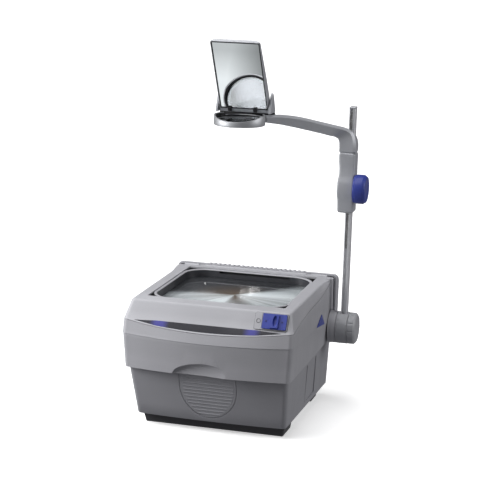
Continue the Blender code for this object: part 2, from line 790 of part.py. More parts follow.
def make_clamp_knob():
    """Grip with broad facets and a chamfered face."""
    wide = KNOB_SPAN[1] - KNOB_SPAN[0]
    rings = []
    for along, radius, dip in ((0, 29.6, 0.0), (1.0, 30.2, 0.9), (wide - 3.5, 29.8, 0.9), (wide, 26.5, 0.0)):
        ring = []
        for i in range(36):
            angle = 2 * math.pi * i / 36
            reach = radius - (dip if i % 3 == 0 else 0.0)
            y = MAST_Y + reach * math.cos(angle)
            z = PIVOT_HEIGHT + reach * math.sin(angle)
            ring.append((KNOB_SPAN[0] + along, y, z))
        rings.append(ring)
    knob = add("clamp_knob", "clamp_knob", "grey_shell", loft(rings))
    cut(knob, rod("x", (0, MAST_Y, PIVOT_HEIGHT), (188, 203.6), 5.1, 16), "bore")


# ---- Carriage, arm and head ----


def make_carriage():
    """Sleeve on the mast with a bulge in front for the pinion."""
    x0, x1 = CARRIAGE_X
    y0, y1 = CARRIAGE_Y
    levels = [
        (CARRIAGE_HEIGHT[0], 3.2, 0.0, 3.0),
        (CARRIAGE_HEIGHT[0] + 3.5, 1.0, 1.0, 0.0),
        (400.0, 1.0, 4.5, 0.0),
        (412.0, 1.2, 8.4, 0.0),
        (426.0, 1.2, 8.4, 0.0),
        (441.0, 0.4, 3.0, 0.0),
        (455.0, 0.0, 0.0, 0.0),
        (CARRIAGE_HEIGHT[1], 0.0, 0.0, 0.0),
    ]
    rings = []
    for z, left, front, pinch in levels:
        a, b = x0 + left, x1 - pinch * 0.5
        c, d = y0 - front + pinch * 0.5, y1 - pinch * 0.5
        ring = [
            (a + 2.5, c),
            (b - 2.5, c),
            (b, c + 2.5),
            (b, d - 3),
            (b - 3, d),
            (a + 3, d),
            (a, d - 3),
            (a, c + 2.5),
        ]
        rings.append([(x, y, z) for x, y in ring])
    carriage = add("carriage", "head_carriage", "satin_paint", loft(rings))
    cut(carriage, mast_bore(365, 490), "mast_bore")
    cavity = rod("x", (0, PINION_Y, PINION_HEIGHT), (179.4, 186.6), 9.2, 20)
    cut(carriage, cavity, "pinion_space")
    cut(carriage, rod("x", (0, PINION_Y, PINION_HEIGHT), (183, 200), 3.1, 16), "shaft_bore")


def mast_bore(low, high):
    play = 0.4
    x = (MAST_X - MAST_WIDE / 2 - play, MAST_X + MAST_WIDE / 2 + play)
    y = (MAST_Y - MAST_DEEP / 2 - play, MAST_Y + MAST_DEEP / 2 + play)
    return slab(x, y, (low, high))


def arm_section(outer, inner, turn, thick):
    """Eight points around the arm: a broad bevel on the outer side, a small one on the inner side."""
    outer, inner = Vector(outer), Vector(inner)
    across = Vector((math.sin(math.radians(turn)), -math.cos(math.radians(turn)), 0))
    run = (outer - inner).normalized()
    half = across * thick / 2
    broad, small = min(5.0, thick * 0.25), 2.0
    return [
        inner + half + run * small,
        outer + half - run * broad,
        outer + half - across * broad,
        outer - half + across * broad,
        outer - half - run * broad,
        inner - half + run * small,
        inner - half + across * small,
        inner + half - across * small,
    ]


def make_arm():
    middle = (CARRIAGE_Y[0] + CARRIAGE_Y[1]) / 2
    x0, x1 = CARRIAGE_X
    start = CARRIAGE_HEIGHT[1] + GAP
    deep = CARRIAGE_Y[1] - CARRIAGE_Y[0]
    sections = [
        ((x1, middle, start), (x0, middle, start), 0, deep),
        ((x1, middle, 499), (x0, middle, 495), 0, deep),
        ((191.5, middle, 512), (161.5, middle, 503.5), 4, deep - 1),
        ((184.5, 123.0, 523.5), (157.5, 121.5, 510), 12, deep - 4),
        ((172.0, 115.5, 530.5), (150.5, 113.0, 514.5), 22, 26),
        ((155.0, 103.0, 536.0), (142.0, 96.5, 518.0), 31, 22),
        ((130.0, 86.0, 543.2), (130.0, 86.0, 522.0), 34, 19),
        ((97.0, 64.5, 552.0), (97.0, 64.5, 531.0), 34, 17),
        ((66.0, 44.0, 557.2), (66.0, 44.0, 538.8), 34, 16),
        ((41.0, 27.4, 558.0), (41.0, 27.4, 543.0), 34, 15),
    ]
    arm = add("arm", "head_carriage", "satin_paint", loft([arm_section(*section) for section in sections]))
    cut(arm, mast_bore(478, 560), "mast_bore")


def make_head():
    low, high = RING_HEIGHT
    tall = high - low
    profile = [
        (RING_RADIUS, tall),
        (RING_RADIUS, 2.0),
        (RING_RADIUS - 2, 0.0),
        (37.0, 0.0),
        (37.0, 2.2),
        (43.8, 2.2),
        (43.8, tall),
    ]
    ring = turned("head_ring", "head_carriage", "silver", (0, 0, low), "z", profile, 48)
    ramp = prism([(-60, 546.0), (-8, 558.6), (-8, 570), (-60, 570)], (-60, 60))
    cut(ring, ramp, "rim_slope")
    cut(ring, slab((-60, 60), (25.5, 60), (553.6, 570)), "mirror_relief")
    flat = [(0, 3.4), (43.2, 3.4), (43.2, 0), (0, 0)]
    turned("lens_lower", "head_carriage", "glass", (0, 0, low + 2.5), "z", flat, 32)
    spacer = [(43.2, 2.0), (43.2, 0), (40.5, 0), (40.5, 2.0)]
    turned("lens_spacer", "head_carriage", "black", (0, 0, low + 6.2), "z", spacer, 32)
    dome = [(0, 4.6), (15, 4.1), (29, 2.6), (40, 0.8), (40, 0), (0, 0)]
    turned("lens_upper", "head_carriage", "glass", (0, 0, low + 8.5), "z", dome, 32)


def make_hinge():
    """Two fin-shaped cheeks beside the mirror, a bar behind the ring and the hinge pin."""
    y, z = MIRROR_AXIS
    fin = [
        (y - 17, 558.8),
        (y + 22, 558.8),
        (y + 21, 563),
        (y + 6, 592),
        (y + 1.5, 596),
        (y - 3, 594.5),
        (y - 15, 566),
    ]
    for side, name in ((1, "hinge_cheek_right"), (-1, "hinge_cheek_left")):
        span = sorted((side * 47.6, side * 52.0))
        cheek = add(name, "head_carriage", "satin_paint", prism(fin, span), bevel=0.9)
        bore = rod("x", (0, y, z), sorted((side * 46, side * 50.2)), 2.6, 12)
        cut(cheek, bore, "bore")
    bar = slab((-52, 52), (48.2, 59.0), (541.0, 558.4))
    add("hinge_bar", "head_carriage", "satin_paint", bar, bevel=1.5)
    pin = rod("x", (0, y, z), (-49.8, 49.8), 2.5, 12)
    add("mirror_pin", "head_carriage", "steel", pin, smooth=True)


def mirror_point(x, along, behind):
    """A point on the leaning mirror: distance up from its axis and distance behind its face."""
    lean = math.radians(MIRROR_LEAN)
    y = MIRROR_AXIS[0] - math.sin(lean) * along + math.cos(lean) * behind
    z = MIRROR_AXIS[1] + math.cos(lean) * along + math.sin(lean) * behind
    return (x, y, z)


def make_mirror():
    half = MIRROR_HALF
    rings = []
    sections = (
        (-3.5, -4.0, 4.5),
        (2.0, -6.0, 9.5),
        (14.0, -6.0, 15.0),
        (60.0, -6.0, 12.0),
        (MIRROR_LENGTH, -6.0, 1.0),
    )
    for along, face, back in sections:
        corners = [
            (-half, face),
            (half, face),
            (half, back - 4),
            (half - 6, back),
            (6 - half, back),
            (-half, back - 4),
        ]
        rings.append([mirror_point(x, along, behind) for x, behind in corners])
    shell = add("mirror_shell", "mirror", "satin_paint", loft(rings), bevel=0.7)
    pocket = loft(
        [
            [mirror_point(x, along, behind) for x, along in ((-44, 6), (44, 6), (44, 151), (-44, 151))]
            for behind in (-8.0, -3.2)
        ]
    )
    cut(shell, pocket, "glass_pocket")
    cut(shell, rod("x", (0, *MIRROR_AXIS), (-60, 60), 2.6, 12), "pin_bore")
    corners = ((-43.4, 6.6), (43.4, 6.6), (43.4, 150.4), (-43.4, 150.4))
    glass = loft([[mirror_point(x, along, level) for x, along in corners] for level in (-5.4, -3.6)])
    add("mirror_glass", "mirror", "mirror_face", glass)
    for x, name in ((-27, "mirror_clip_left"), (21, "mirror_clip_right")):
        profile = ((0.5, -9.0), (8.0, -9.0), (8.0, -6.4), (0.5, -6.4))
        clip = loft([[mirror_point(side, *at) for at in profile] for side in (x - 3.5, x + 3.5)])
        add(name, "mirror", "black", clip, bevel=0.5)


def make_focus_drive():
    wide = FOCUS_KNOB_SPAN[1] - FOCUS_KNOB_SPAN[0]
    radius = FOCUS_KNOB_RADIUS
    profile = [
        (0, wide - 1.2),
        (radius - 8, wide - 0.6),
        (radius - 6.5, wide),
        (radius - 3.6, wide - 0.2),
        (radius - 0.6, wide - 4.2),
        (radius, wide - 5.5),
        (radius, 3.0),
        (radius - 1.2, 0.6),
        (radius - 3, 0.0),
        (0, 0.0),
    ]
    centre = (FOCUS_KNOB_SPAN[0], PINION_Y, PINION_HEIGHT)
    knob = turned("focus_knob", "focus_drive", "blue", centre, "x", profile, 40)
    cut(knob, rod("x", (0, PINION_Y, PINION_HEIGHT), (190, 206.4), 3.1, 16), "bore")
    shaft = rod("x", (0, PINION_Y, PINION_HEIGHT), (185.2, 206.0), 3.0, 16)
    add("focus_shaft", "focus_drive", "steel", shaft, smooth=True)
    rings = []
    for x in (180.9, 184.8):
        ring = []
        for i in range(PINION_TEETH):
            for part, reach in ((-0.29, -1.3), (-0.08, 0.7), (0.08, 0.7), (0.29, -1.3)):
                angle = 2 * math.pi * (i + part) / PINION_TEETH
                y = PINION_Y + (PINION_RADIUS + reach) * math.cos(angle)
                z = PINION_HEIGHT + (PINION_RADIUS + reach) * math.sin(angle)
                ring.append((x, y, z))
        rings.append(ring)
    add("focus_pinion", "focus_drive", "brass", loft(rings))


start_scene()
make_tub()
make_feet()
make_housing()
make_grip()
make_side_inlays()
make_rear_cover()
make_hinge_rail()
make_boss()
make_lamp_unit()
make_fan()
make_lid()
make_stage_inserts()
make_front_trim()
make_mast()
make_clamp_knob()
make_carriage()
make_arm()
make_head()
make_hinge()
make_mirror()
make_focus_drive()
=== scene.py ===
import json
import math

import bmesh
import bpy
from mathutils import Matrix, Vector


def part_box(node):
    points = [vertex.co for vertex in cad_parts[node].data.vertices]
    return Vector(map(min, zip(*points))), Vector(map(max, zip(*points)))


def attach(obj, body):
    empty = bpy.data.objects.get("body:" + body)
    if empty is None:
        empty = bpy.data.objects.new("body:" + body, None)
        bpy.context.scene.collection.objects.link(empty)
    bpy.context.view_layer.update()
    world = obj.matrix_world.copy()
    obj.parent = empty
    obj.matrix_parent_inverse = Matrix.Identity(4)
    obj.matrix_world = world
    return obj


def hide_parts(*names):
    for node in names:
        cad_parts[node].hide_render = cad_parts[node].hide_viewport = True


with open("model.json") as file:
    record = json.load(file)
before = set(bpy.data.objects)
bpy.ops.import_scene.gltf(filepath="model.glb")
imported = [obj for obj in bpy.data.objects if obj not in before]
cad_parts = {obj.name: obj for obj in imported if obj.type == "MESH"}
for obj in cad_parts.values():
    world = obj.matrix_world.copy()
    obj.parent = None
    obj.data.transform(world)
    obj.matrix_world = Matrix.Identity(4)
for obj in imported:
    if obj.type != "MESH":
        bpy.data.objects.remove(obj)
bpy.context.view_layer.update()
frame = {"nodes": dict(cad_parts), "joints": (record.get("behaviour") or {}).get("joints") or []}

# Lengths are in millimetres in a working frame: the middle of the stage is x = 0, y = 0, the desk is z = 0.
MM = 0.001
glass_low, glass_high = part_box("stage_glass")
ORIGIN = Vector(((glass_low.x + glass_high.x) / 2, (glass_low.y + glass_high.y) / 2, 0.0))


def joint_point(name):
    """A joint's axis point in the working frame."""
    found = next(joint for joint in frame["joints"] if joint["name"] == name)
    return (Vector(found["pos_m"]) - ORIGIN) / MM


def node_box(name):
    """Low and high corner of a CAD node in the working frame."""
    low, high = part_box(name)
    return (low - ORIGIN) / MM, (high - ORIGIN) / MM


# ---- Curves and outlines ----


def catmull(a, b, c, d, t):
    """A point of a Catmull-Rom curve between b and c. It works on numbers and on vectors."""
    return b + 0.5 * t * (c - a + t * (2 * a - 5 * b + 4 * c - d + t * (3 * (b - c) + d - a)))


def table_value(table, at):
    """Smooth reading of a table of (position, value) pairs."""
    if at <= table[0][0]:
        return table[0][1]
    for i in range(len(table) - 1):
        if at <= table[i + 1][0]:
            before = table[max(i - 1, 0)][1]
            after = table[min(i + 2, len(table) - 1)][1]
            t = (at - table[i][0]) / (table[i + 1][0] - table[i][0])
            return catmull(before, table[i][1], table[i + 1][1], after, t)
    return table[-1][1]


def spline_rings(rings, steps):
    """More rings between the given ones, each point on a smooth curve."""
    result = []
    for i in range(len(rings) - 1):
        before, after = rings[max(i - 1, 0)], rings[min(i + 2, len(rings) - 1)]
        for step in range(steps):
            t = step / steps
            four = zip(before, rings[i], rings[i + 1], after)
            result.append([catmull(a, b, c, d, t) for a, b, c, d in four])
    return result + [rings[-1]]


def arc(cx, cy, radius, start, end, steps):
    angles = [math.radians(start + (end - start) * i / steps) for i in range(steps + 1)]
    return [(cx + radius * math.cos(a), cy + radius * math.sin(a)) for a in angles]


def circle(steps, radius=1.0):
    angles = [2 * math.pi * i / steps for i in range(steps)]
    return [(radius * math.cos(a), radius * math.sin(a)) for a in angles]


def round_rect(x, y, radius, steps):
    """A rectangle with round corners, counter-clockwise from its right side."""
    points = []
    for index, (right, far) in enumerate(((1, 1), (0, 1), (0, 0), (1, 0))):
        cx = x[right] + (-radius if right else radius)
        cy = y[far] + (-radius if far else radius)
        points += arc(cx, cy, radius, 90 * index, 90 * index + 90, steps)
    return points


def chaikin(points, keep, rounds=3):
    """Rounds off a closed polygon, apart from the corners to keep."""
    marked = [(Vector(p), index in keep) for index, p in enumerate(points)]
    for _ in range(rounds):
        result = []
        for index, (here, fixed) in enumerate(marked):
            before, after = marked[index - 1][0], marked[(index + 1) % len(marked)][0]
            if fixed:
                result.append((here, True))
            else:
                result += [(here.lerp(before, 0.25), False), (here.lerp(after, 0.25), False)]
        marked = result
    return [(p.x, p.y) for p, _ in marked]


# ---- Meshes ----

LEAST_RADIUS = 0.02
WELD_DISTANCE = 0.00002


def loft(rings, loop=False):
    """Skins a list of equal rings, closed by end caps or by joining the last ring to the first."""
    mesh = bmesh.new()
    rows = [[mesh.verts.new(point) for point in ring] for ring in rings]
    pairs = list(zip(rows, rows[1:]))
    if loop:
        pairs.append((rows[-1], rows[0]))
    for low, high in pairs:
        for i in range(len(low)):
            mesh.faces.new((low[i - 1], low[i], high[i], high[i - 1]))
    if not loop:
        mesh.faces.new(list(reversed(rows[0])))
        mesh.faces.new(rows[-1])
    bmesh.ops.recalc_face_normals(mesh, faces=mesh.faces)
    return mesh


def slab(x, y, z):
    ring = [(x[0], y[0]), (x[1], y[0]), (x[1], y[1]), (x[0], y[1])]
    return loft([[(a, b, h) for a, b in ring] for h in z])


def prism(points, x):
    """A polygon in the YZ plane pushed from one X to another."""
    return loft([[(side, y, z) for y, z in points] for side in x])


def turned(axis, centre, profile, steps=72):
    """A solid of revolution about x or z. The profile holds (radius, distance along the axis)."""
    rings = []
    for radius, along in profile:
        ring = []
        for a, b in circle(steps, max(radius, LEAST_RADIUS)):
            offset = (along, a, b) if axis == "x" else (a, b, along)
            ring.append(tuple(c + o for c, o in zip(centre, offset)))
        rings.append(ring)
    return loft(rings)


def ball(reach, axis, turn, place, segments):
    """A stretched ball, turned about one axis and moved to a place."""
    mesh = bmesh.new()
    bmesh.ops.create_uvsphere(mesh, u_segments=segments, v_segments=segments // 2, radius=1.0)
    bmesh.ops.scale(mesh, verts=mesh.verts, vec=reach)
    bmesh.ops.rotate(mesh, verts=mesh.verts, cent=(0, 0, 0), matrix=Matrix.Rotation(turn, 3, axis))
    bmesh.ops.translate(mesh, verts=mesh.verts, vec=place)
    return mesh


def merged(meshes):
    """One mesh that holds several separate ones."""
    whole = bmesh.new()
    for mesh in meshes:
        data = bpy.data.meshes.new("part")
        mesh.to_mesh(data)
        mesh.free()
        whole.from_mesh(data)
        bpy.data.meshes.remove(data)
    return whole


def mesh_data(name, mesh):
    """Mesh data in metres and in the shared frame."""
    bmesh.ops.scale(mesh, verts=mesh.verts, vec=(MM, MM, MM))
    bmesh.ops.translate(mesh, verts=mesh.verts, vec=ORIGIN)
    data = bpy.data.meshes.new(name)
    mesh.to_mesh(data)
    mesh.free()
    return data


def new_object(name, data):
    obj = bpy.data.objects.new(name, data)
    bpy.context.scene.collection.objects.link(obj)
    return obj


def add_bevel(obj, width, segments, angle):
    bevel = obj.modifiers.new("edge", "BEVEL")
    bevel.width = width * MM
    bevel.segments = segments
    bevel.limit_method = "ANGLE"
    bevel.angle_limit = math.radians(angle)
    bevel.harden_normals = True


def boolean(obj, operation, mesh, label):
    """Applies an exact Boolean with a helper that is removed afterwards."""
    helper = new_object(label, mesh_data(label, mesh))
    step = obj.modifiers.new(label, "BOOLEAN")
    step.operation = operation
    step.solver = "EXACT"
    step.object = helper
    graph = bpy.context.evaluated_depsgraph_get()
    changed = bpy.data.meshes.new_from_object(obj.evaluated_get(graph))
    obj.modifiers.remove(step)
    obj.data = changed
    bpy.data.objects.remove(helper)


def piece(name, body, look, mesh, bevel=0.0, segments=2, sharp=34, replaces=(), cuts=(), joins=()):
    """A shown piece that rides on a body, with rounded edges and smooth faces between them."""
    obj = new_object(name, mesh_data(name, mesh))
    obj.data.materials.append(finish[look])
    for index, extra in enumerate(joins):
        boolean(obj, "UNION", extra, "join_%d" % index)
    for index, cutter in enumerate(cuts):
        boolean(obj, "DIFFERENCE", cutter, "cut_%d" % index)
    obj.data.shade_smooth()
    obj.data.set_sharp_from_angle(angle=math.radians(sharp))
    if bevel:
        add_bevel(obj, bevel, segments, sharp)
    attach(obj, body)
    if replaces:
        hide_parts(*replaces)


def kept(look, *names, bevel=0.0):
    """CAD nodes that stay as they are, with a better material and rounded edges."""
    for name in names:
        obj = frame["nodes"][name]
        for index in range(len(obj.material_slots)):
            obj.material_slots[index].material = finish[look]
        if bevel:
            weld = obj.modifiers.new("weld", "WELD")
            weld.merge_threshold = WELD_DISTANCE
            add_bevel(obj, bevel, 2, 34)


# ---- Materials ----


def fill(tree, made, values):
    """Sets inputs of a shader node, by name or number, to numbers or to sockets."""
    for key, value in values.items():
        if isinstance(value, bpy.types.NodeSocket):
            tree.links.new(value, made.inputs[key])
        else:
            made.inputs[key].default_value = value


def node(tree, kind, values=None, **settings):
    """The outputs of a new shader node with these inputs and settings."""
    made = tree.nodes.new("ShaderNode" + kind)
    for key, value in settings.items():
        setattr(made, key, value)
    fill(tree, made, values or {})
    return made.outputs


def new_material(name):
    made = bpy.data.materials.new(name)
    made.use_nodes = True
    return made, made.node_tree, made.node_tree.nodes["Principled BSDF"]


def show_surface(tree, surface):
    """Lets a material show this shader in place of the principled one."""
    fill(tree, tree.nodes["Material Output"], {"Surface": surface})


def spot(tree, scale=(1, 1, 1)):
    """Object coordinates in metres, stretched by a scale."""
    source = node(tree, "TexCoord")["Object"]
    return node(tree, "Mapping", {"Vector": source, "Scale": scale})[0]


def from_middle(tree, axis):
    """Distance in metres from the middle of the stage, along X or Y."""
    place = node(tree, "SeparateXYZ", {0: node(tree, "TexCoord")["Object"]})
    return maths(tree, "SUBTRACT", place[axis], getattr(ORIGIN, axis.lower()))


def noise(tree, where, scale, detail=3.0, rough=0.55):
    values = {"Vector": where, "Scale": scale, "Detail": detail, "Roughness": rough}
    return node(tree, "TexNoise", values)["Fac"]


def remap(tree, value, low, high, start=0.3, end=0.7):
    """Brings a value between start and end to a number between low and high."""
    values = {"Value": value, "From Min": start, "From Max": end, "To Min": low, "To Max": high}
    return node(tree, "MapRange", values)[0]


def maths(tree, operation, *values):
    return node(tree, "Math", dict(enumerate(values)), operation=operation)[0]


def vector_maths(tree, operation, *values):
    """The vector output and the number output of a step on vectors."""
    return node(tree, "VectorMath", dict(enumerate(values)), operation=operation)


def product(tree, first, *others):
    for other in others:
        first = maths(tree, "MULTIPLY", first, other)
    return first


def smooth(tree, value, start, end):
    """Eases from 0 to 1 between two values, which may also fall."""
    if start > end:
        return maths(tree, "SUBTRACT", 1.0, smooth(tree, value, end, start))
    ends = {0: value, 1: start, 2: end}
    return node(tree, "MapRange", ends, interpolation_type="SMOOTHSTEP")[0]


def shade(colour, factor):
    return tuple(min(1.0, c * factor) for c in colour) + (1.0,)


def mixed(tree, factor, first, second):
    return node(tree, "Mix", {0: factor, 6: first, 7: second}, data_type="RGBA")[2]


def blend(tree, value, first, second, start=0.3, end=0.7):
    """Fades from one colour to another while a value goes from start to end."""
    return mixed(tree, remap(tree, value, 0, 1, start, end), first, second)


def bumped(tree, height, strength, distance, under=None):
    """A bumpy normal, on top of another one where given."""
    values = {"Height": height, "Strength": strength, "Distance": distance}
    if under:
        values["Normal"] = under
    return node(tree, "Bump", values)[0]


def paler_edges(tree, base, worn, amount, end):
    """Fades to the worn colour where an edge stands out."""
    point = node(tree, "NewGeometry")["Pointiness"]
    return mixed(tree, remap(tree, point, 0.0, amount, 0.52, end), base, worn)


PLASTIC_GRAIN = 0.0009


def moulded(name, colour, rough=0.46, depth=0.16, wear=0.12, spread=0.035):
    """Injection-moulded plastic: spark-eroded grain, soft mottling and slightly polished, paler edges."""
    made, tree, shader = new_material(name)
    where = spot(tree)
    cloud = noise(tree, where, 14.0, 4.0)
    speck = noise(tree, where, 900.0, 2.0)
    base = blend(tree, cloud, shade(colour, 1 - spread), shade(colour, 1 + spread))
    base = mixed(tree, remap(tree, speck, 0, 0.5, 0.35, 0.75), base, shade(colour, 0.9))
    smear = noise(tree, spot(tree, (1, 1, 0.35)), 30.0, 4.0)
    cells = node(tree, "TexVoronoi", {"Vector": where, "Scale": 1 / PLASTIC_GRAIN}, feature="SMOOTH_F1")
    fine = bumped(tree, cells["Distance"], depth, 0.00025)
    fill(tree, shader, {
        "Base Color": paler_edges(tree, base, shade(colour, 1.55), wear, 0.6),
        "Roughness": remap(tree, smear, rough - 0.06, rough + 0.07),
        "Normal": bumped(tree, noise(tree, where, 9.0, 2.0), 0.08, 0.004, fine),
        "Specular IOR Level": 0.3,
    })
    return made


def coated(name, colour, rough=0.36):
    """Satin silver-grey paint with a fine metal flake and a little orange peel."""
    made, tree, shader = new_material(name)
    where = spot(tree)
    flake = node(tree, "TexVoronoi", {"Vector": where, "Scale": 2600.0})["Color"]
    grey = node(tree, "RGBToBW", {0: flake})[0]
    cloud = noise(tree, where, 20.0)
    base = blend(tree, grey, shade(colour, 0.93), shade(colour, 1.08), 0.2, 0.9)
    base = mixed(tree, remap(tree, cloud, 0, 0.35), base, shade(colour, 0.88))
    fill(tree, shader, {
        "Base Color": paler_edges(tree, base, shade(colour, 1.5), 0.25, 0.62),
        "Roughness": remap(tree, cloud, rough - 0.05, rough + 0.06),
        "Normal": bumped(tree, noise(tree, where, 420.0, 2.0), 0.08, 0.0004),
        "Metallic": 0.25,
        "Coat Weight": 0.15,
        "Coat Roughness": 0.3,
    })
    return made


def brushed(name, colour, rough, stretch, depth=0.12, stain=0.12, metallic=1.0):
    """Bare metal with brush lines drawn out along one axis, and faint stains."""
    made, tree, shader = new_material(name)
    lines = noise(tree, spot(tree, stretch), 1.0, 5.0, 0.7)
    cloud = noise(tree, spot(tree), 35.0)
    base = blend(tree, lines, shade(colour, 0.86), shade(colour, 1.06))
    fill(tree, shader, {
        "Base Color": mixed(tree, remap(tree, cloud, 0, stain, 0.45, 0.75), base, shade(colour, 0.5)),
        "Roughness": remap(tree, lines, rough - 0.06, rough + 0.1),
        "Normal": bumped(tree, lines, depth, 0.0002),
        "Metallic": metallic,
    })
    return made


def ceramic(name):
    made, tree, shader = new_material(name)
    speck = noise(tree, spot(tree), 700.0)
    fill(tree, shader, {
        "Base Color": blend(tree, speck, (0.8, 0.77, 0.7, 1), (0.92, 0.9, 0.85, 1)),
        "Normal": bumped(tree, speck, 0.2, 0.0003),
        "Roughness": 0.6,
    })
    return made


def clear_glass(name, tint, rough=0.02, ior=1.5):
    """Polished glass with faint smears. It casts no dark shadow: lamps shine through it."""
    made, tree, shader = new_material(name)
    smear = noise(tree, spot(tree, (1, 0.4, 1)), 60.0, 4.0)
    fill(tree, shader, {
        "Base Color": blend(tree, smear, shade(tint, 1.0), shade(tint, 0.93), 0.4, 0.8),
        "Roughness": remap(tree, smear, rough, rough + 0.05, 0.5, 0.8),
        "Transmission Weight": 1.0,
        "IOR": ior,
    })
    path = node(tree, "LightPath")["Is Shadow Ray"]
    clear = node(tree, "BsdfTransparent", {"Color": (0.93, 0.95, 0.96, 1)})[0]
    show_surface(tree, node(tree, "MixShader", {0: path, 1: shader.outputs[0], 2: clear})[0])
    return made


def pane_glass(name):
    """The flat stage glass: see-through, with a weak mirror on it that grows towards grazing angles."""
    made, tree, shader = new_material(name)
    smear = noise(tree, spot(tree, (1, 0.5, 1)), 25.0, 5.0)
    rough = remap(tree, smear, 0.04, 0.12, 0.4, 0.75)
    mirror = node(tree, "BsdfAnisotropic", {"Color": (1, 1, 1, 1), "Roughness": rough})[0]
    clear = node(tree, "BsdfTransparent", {"Color": (0.95, 0.96, 0.965, 1)})[0]
    share = node(tree, "Fresnel", {"IOR": 1.22})[0]
    front = maths(tree, "SUBTRACT", 1.0, node(tree, "NewGeometry")["Backfacing"])
    tree.nodes.remove(shader)
    both = {0: product(tree, share, front), 1: clear, 2: mirror}
    show_surface(tree, node(tree, "MixShader", both)[0])
    return made


GROOVE_PITCH = 0.0009
GROOVE_SLOPE = 3.0

# Plan direction of the dark gap in front between the two painted reflection fans, and the direction square to
# it.
FAN_TURN = math.radians(-72)
FAN_FRONT = (math.cos(FAN_TURN), math.sin(FAN_TURN), 0.0)
FAN_SIDE = (-FAN_FRONT[1], FAN_FRONT[0], 0.0)


def groove_normal(tree, flat, count, jitter):
    """Normal of the grooves, which lean more and more outwards."""
    lean = maths(tree, "MULTIPLY_ADD", maths(tree, "FRACT", count), GROOVE_SLOPE * 0.08, GROOVE_SLOPE * 0.96)
    lean = maths(tree, "MULTIPLY_ADD", jitter, 0.08, lean)
    outward = node(tree, "VectorMath", {0: flat, "Scale": lean}, operation="SCALE")[0]
    normal = vector_maths(tree, "ADD", outward, (0, 0, 1))[0]
    turn = {"vector_type": "NORMAL", "convert_from": "OBJECT", "convert_to": "WORLD"}
    normal = node(tree, "VectorTransform", {0: normal}, **turn)[0]
    return vector_maths(tree, "NORMALIZE", normal)[0]


def painted_reflection_fans(tree, flat, radius):
    """How pale the painted reflection is: two wide streaked fans, brightest in front on the left and at the
    right rear.
    """
    away = vector_maths(tree, "NORMALIZE", flat)[0]
    front = vector_maths(tree, "DOT_PRODUCT", away, FAN_FRONT)["Value"]
    across = vector_maths(tree, "DOT_PRODUCT", away, FAN_SIDE)["Value"]
    turn = maths(tree, "ARCCOSINE", front)
    closed = smooth(tree, maths(tree, "MULTIPLY_ADD", across, -0.15, turn), 1.7, 2.05)
    near_front = product(tree, smooth(tree, turn, 1.35, 0.35), smooth(tree, across, 0.2, -0.3))
    near_rear = product(tree, smooth(tree, turn, 1.1, 1.7), smooth(tree, across, 0.0, 0.4))
    return product(
        tree,
        smooth(tree, turn, 0.0, 0.6),
        maths(tree, "SUBTRACT", 1.0, closed),
        remap(tree, noise(tree, away, 5.5, 3.0, 0.6), 0.55, 1.15, 0.32, 0.68),
        remap(tree, noise(tree, away, 38.0, 2.0, 0.5), 0.85, 1.12, 0.3, 0.7),
        maths(tree, "MULTIPLY_ADD", maths(tree, "MAXIMUM", near_front, near_rear), 0.7, 0.62),
        remap(tree, radius, 0.55, 1, 0.002, 0.02),
    )


def grooved_lens(name):
    """Fresnel lens: leaning grooves, with a painted reflection in two streaked fans along them, over a dark
    base that turns brown towards the middle.
    """
    made, tree, shader = new_material(name)
    source = node(tree, "TexCoord")["Object"]
    flat = vector_maths(tree, "SUBTRACT", source, (ORIGIN.x, ORIGIN.y, 0.0))[0]
    flat = vector_maths(tree, "MULTIPLY", flat, (1, 1, 0))[0]
    radius = vector_maths(tree, "LENGTH", flat)["Value"]
    count = maths(tree, "MULTIPLY", radius, 1 / GROOVE_PITCH)
    step = {"W": maths(tree, "FLOOR", count)}
    jitter = node(tree, "TexWhiteNoise", step, noise_dimensions="1D")["Value"]
    warm = remap(tree, radius, 1, 0, 0.01, 0.085)
    dark = mixed(tree, warm, (0.06, 0.06, 0.065, 1), (0.125, 0.085, 0.055, 1))
    fill(tree, shader, {
        "Normal": groove_normal(tree, flat, count, jitter),
        # The base colour holds a painted reflection: pale streaked fans over the dark base.
        "Base Color": mixed(tree, painted_reflection_fans(tree, flat, radius), dark, (0.66, 0.69, 0.7, 1)),
        "Roughness": remap(tree, jitter, 0.14, 0.22, 0, 1),
    })
    return made


def silvered(name):
    """Front-silvered mirror with a trace of dust."""
    made, tree, shader = new_material(name)
    dust = noise(tree, spot(tree), 260.0, 5.0, 0.7)
    cloud = noise(tree, spot(tree, (1, 1, 0.5)), 16.0)
    fill(tree, shader, {
        "Base Color": blend(tree, cloud, (0.9, 0.91, 0.92, 1), (0.84, 0.86, 0.87, 1)),
        "Roughness": remap(tree, dust, 0.015, 0.05, 0.5, 0.8),
        "Metallic": 1.0,
    })
    return made


def badge(name):
    """Charcoal trim with a soft-edged blue patch towards each end."""
    made, tree, shader = new_material(name)
    side = from_middle(tree, "X")
    patches = []
    for low, high in ((-0.106, -0.066), (0.064, 0.1)):
        rise, fall = smooth(tree, side, low, low + 0.016), smooth(tree, side, high - 0.016, high)
        patches.append(maths(tree, "SUBTRACT", rise, fall))
    speck = noise(tree, spot(tree), 800.0)
    dark = blend(tree, speck, (0.02, 0.02, 0.026, 1), (0.035, 0.034, 0.042, 1))
    blue = blend(tree, speck, (0.045, 0.045, 0.22, 1), (0.06, 0.06, 0.27, 1))
    fill(tree, shader, {
        "Base Color": mixed(tree, maths(tree, "ADD", *patches), dark, blue),
        "Normal": bumped(tree, speck, 0.1, 0.0002),
        "Roughness": 0.5,
        "Specular IOR Level": 0.2,
    })
    return made


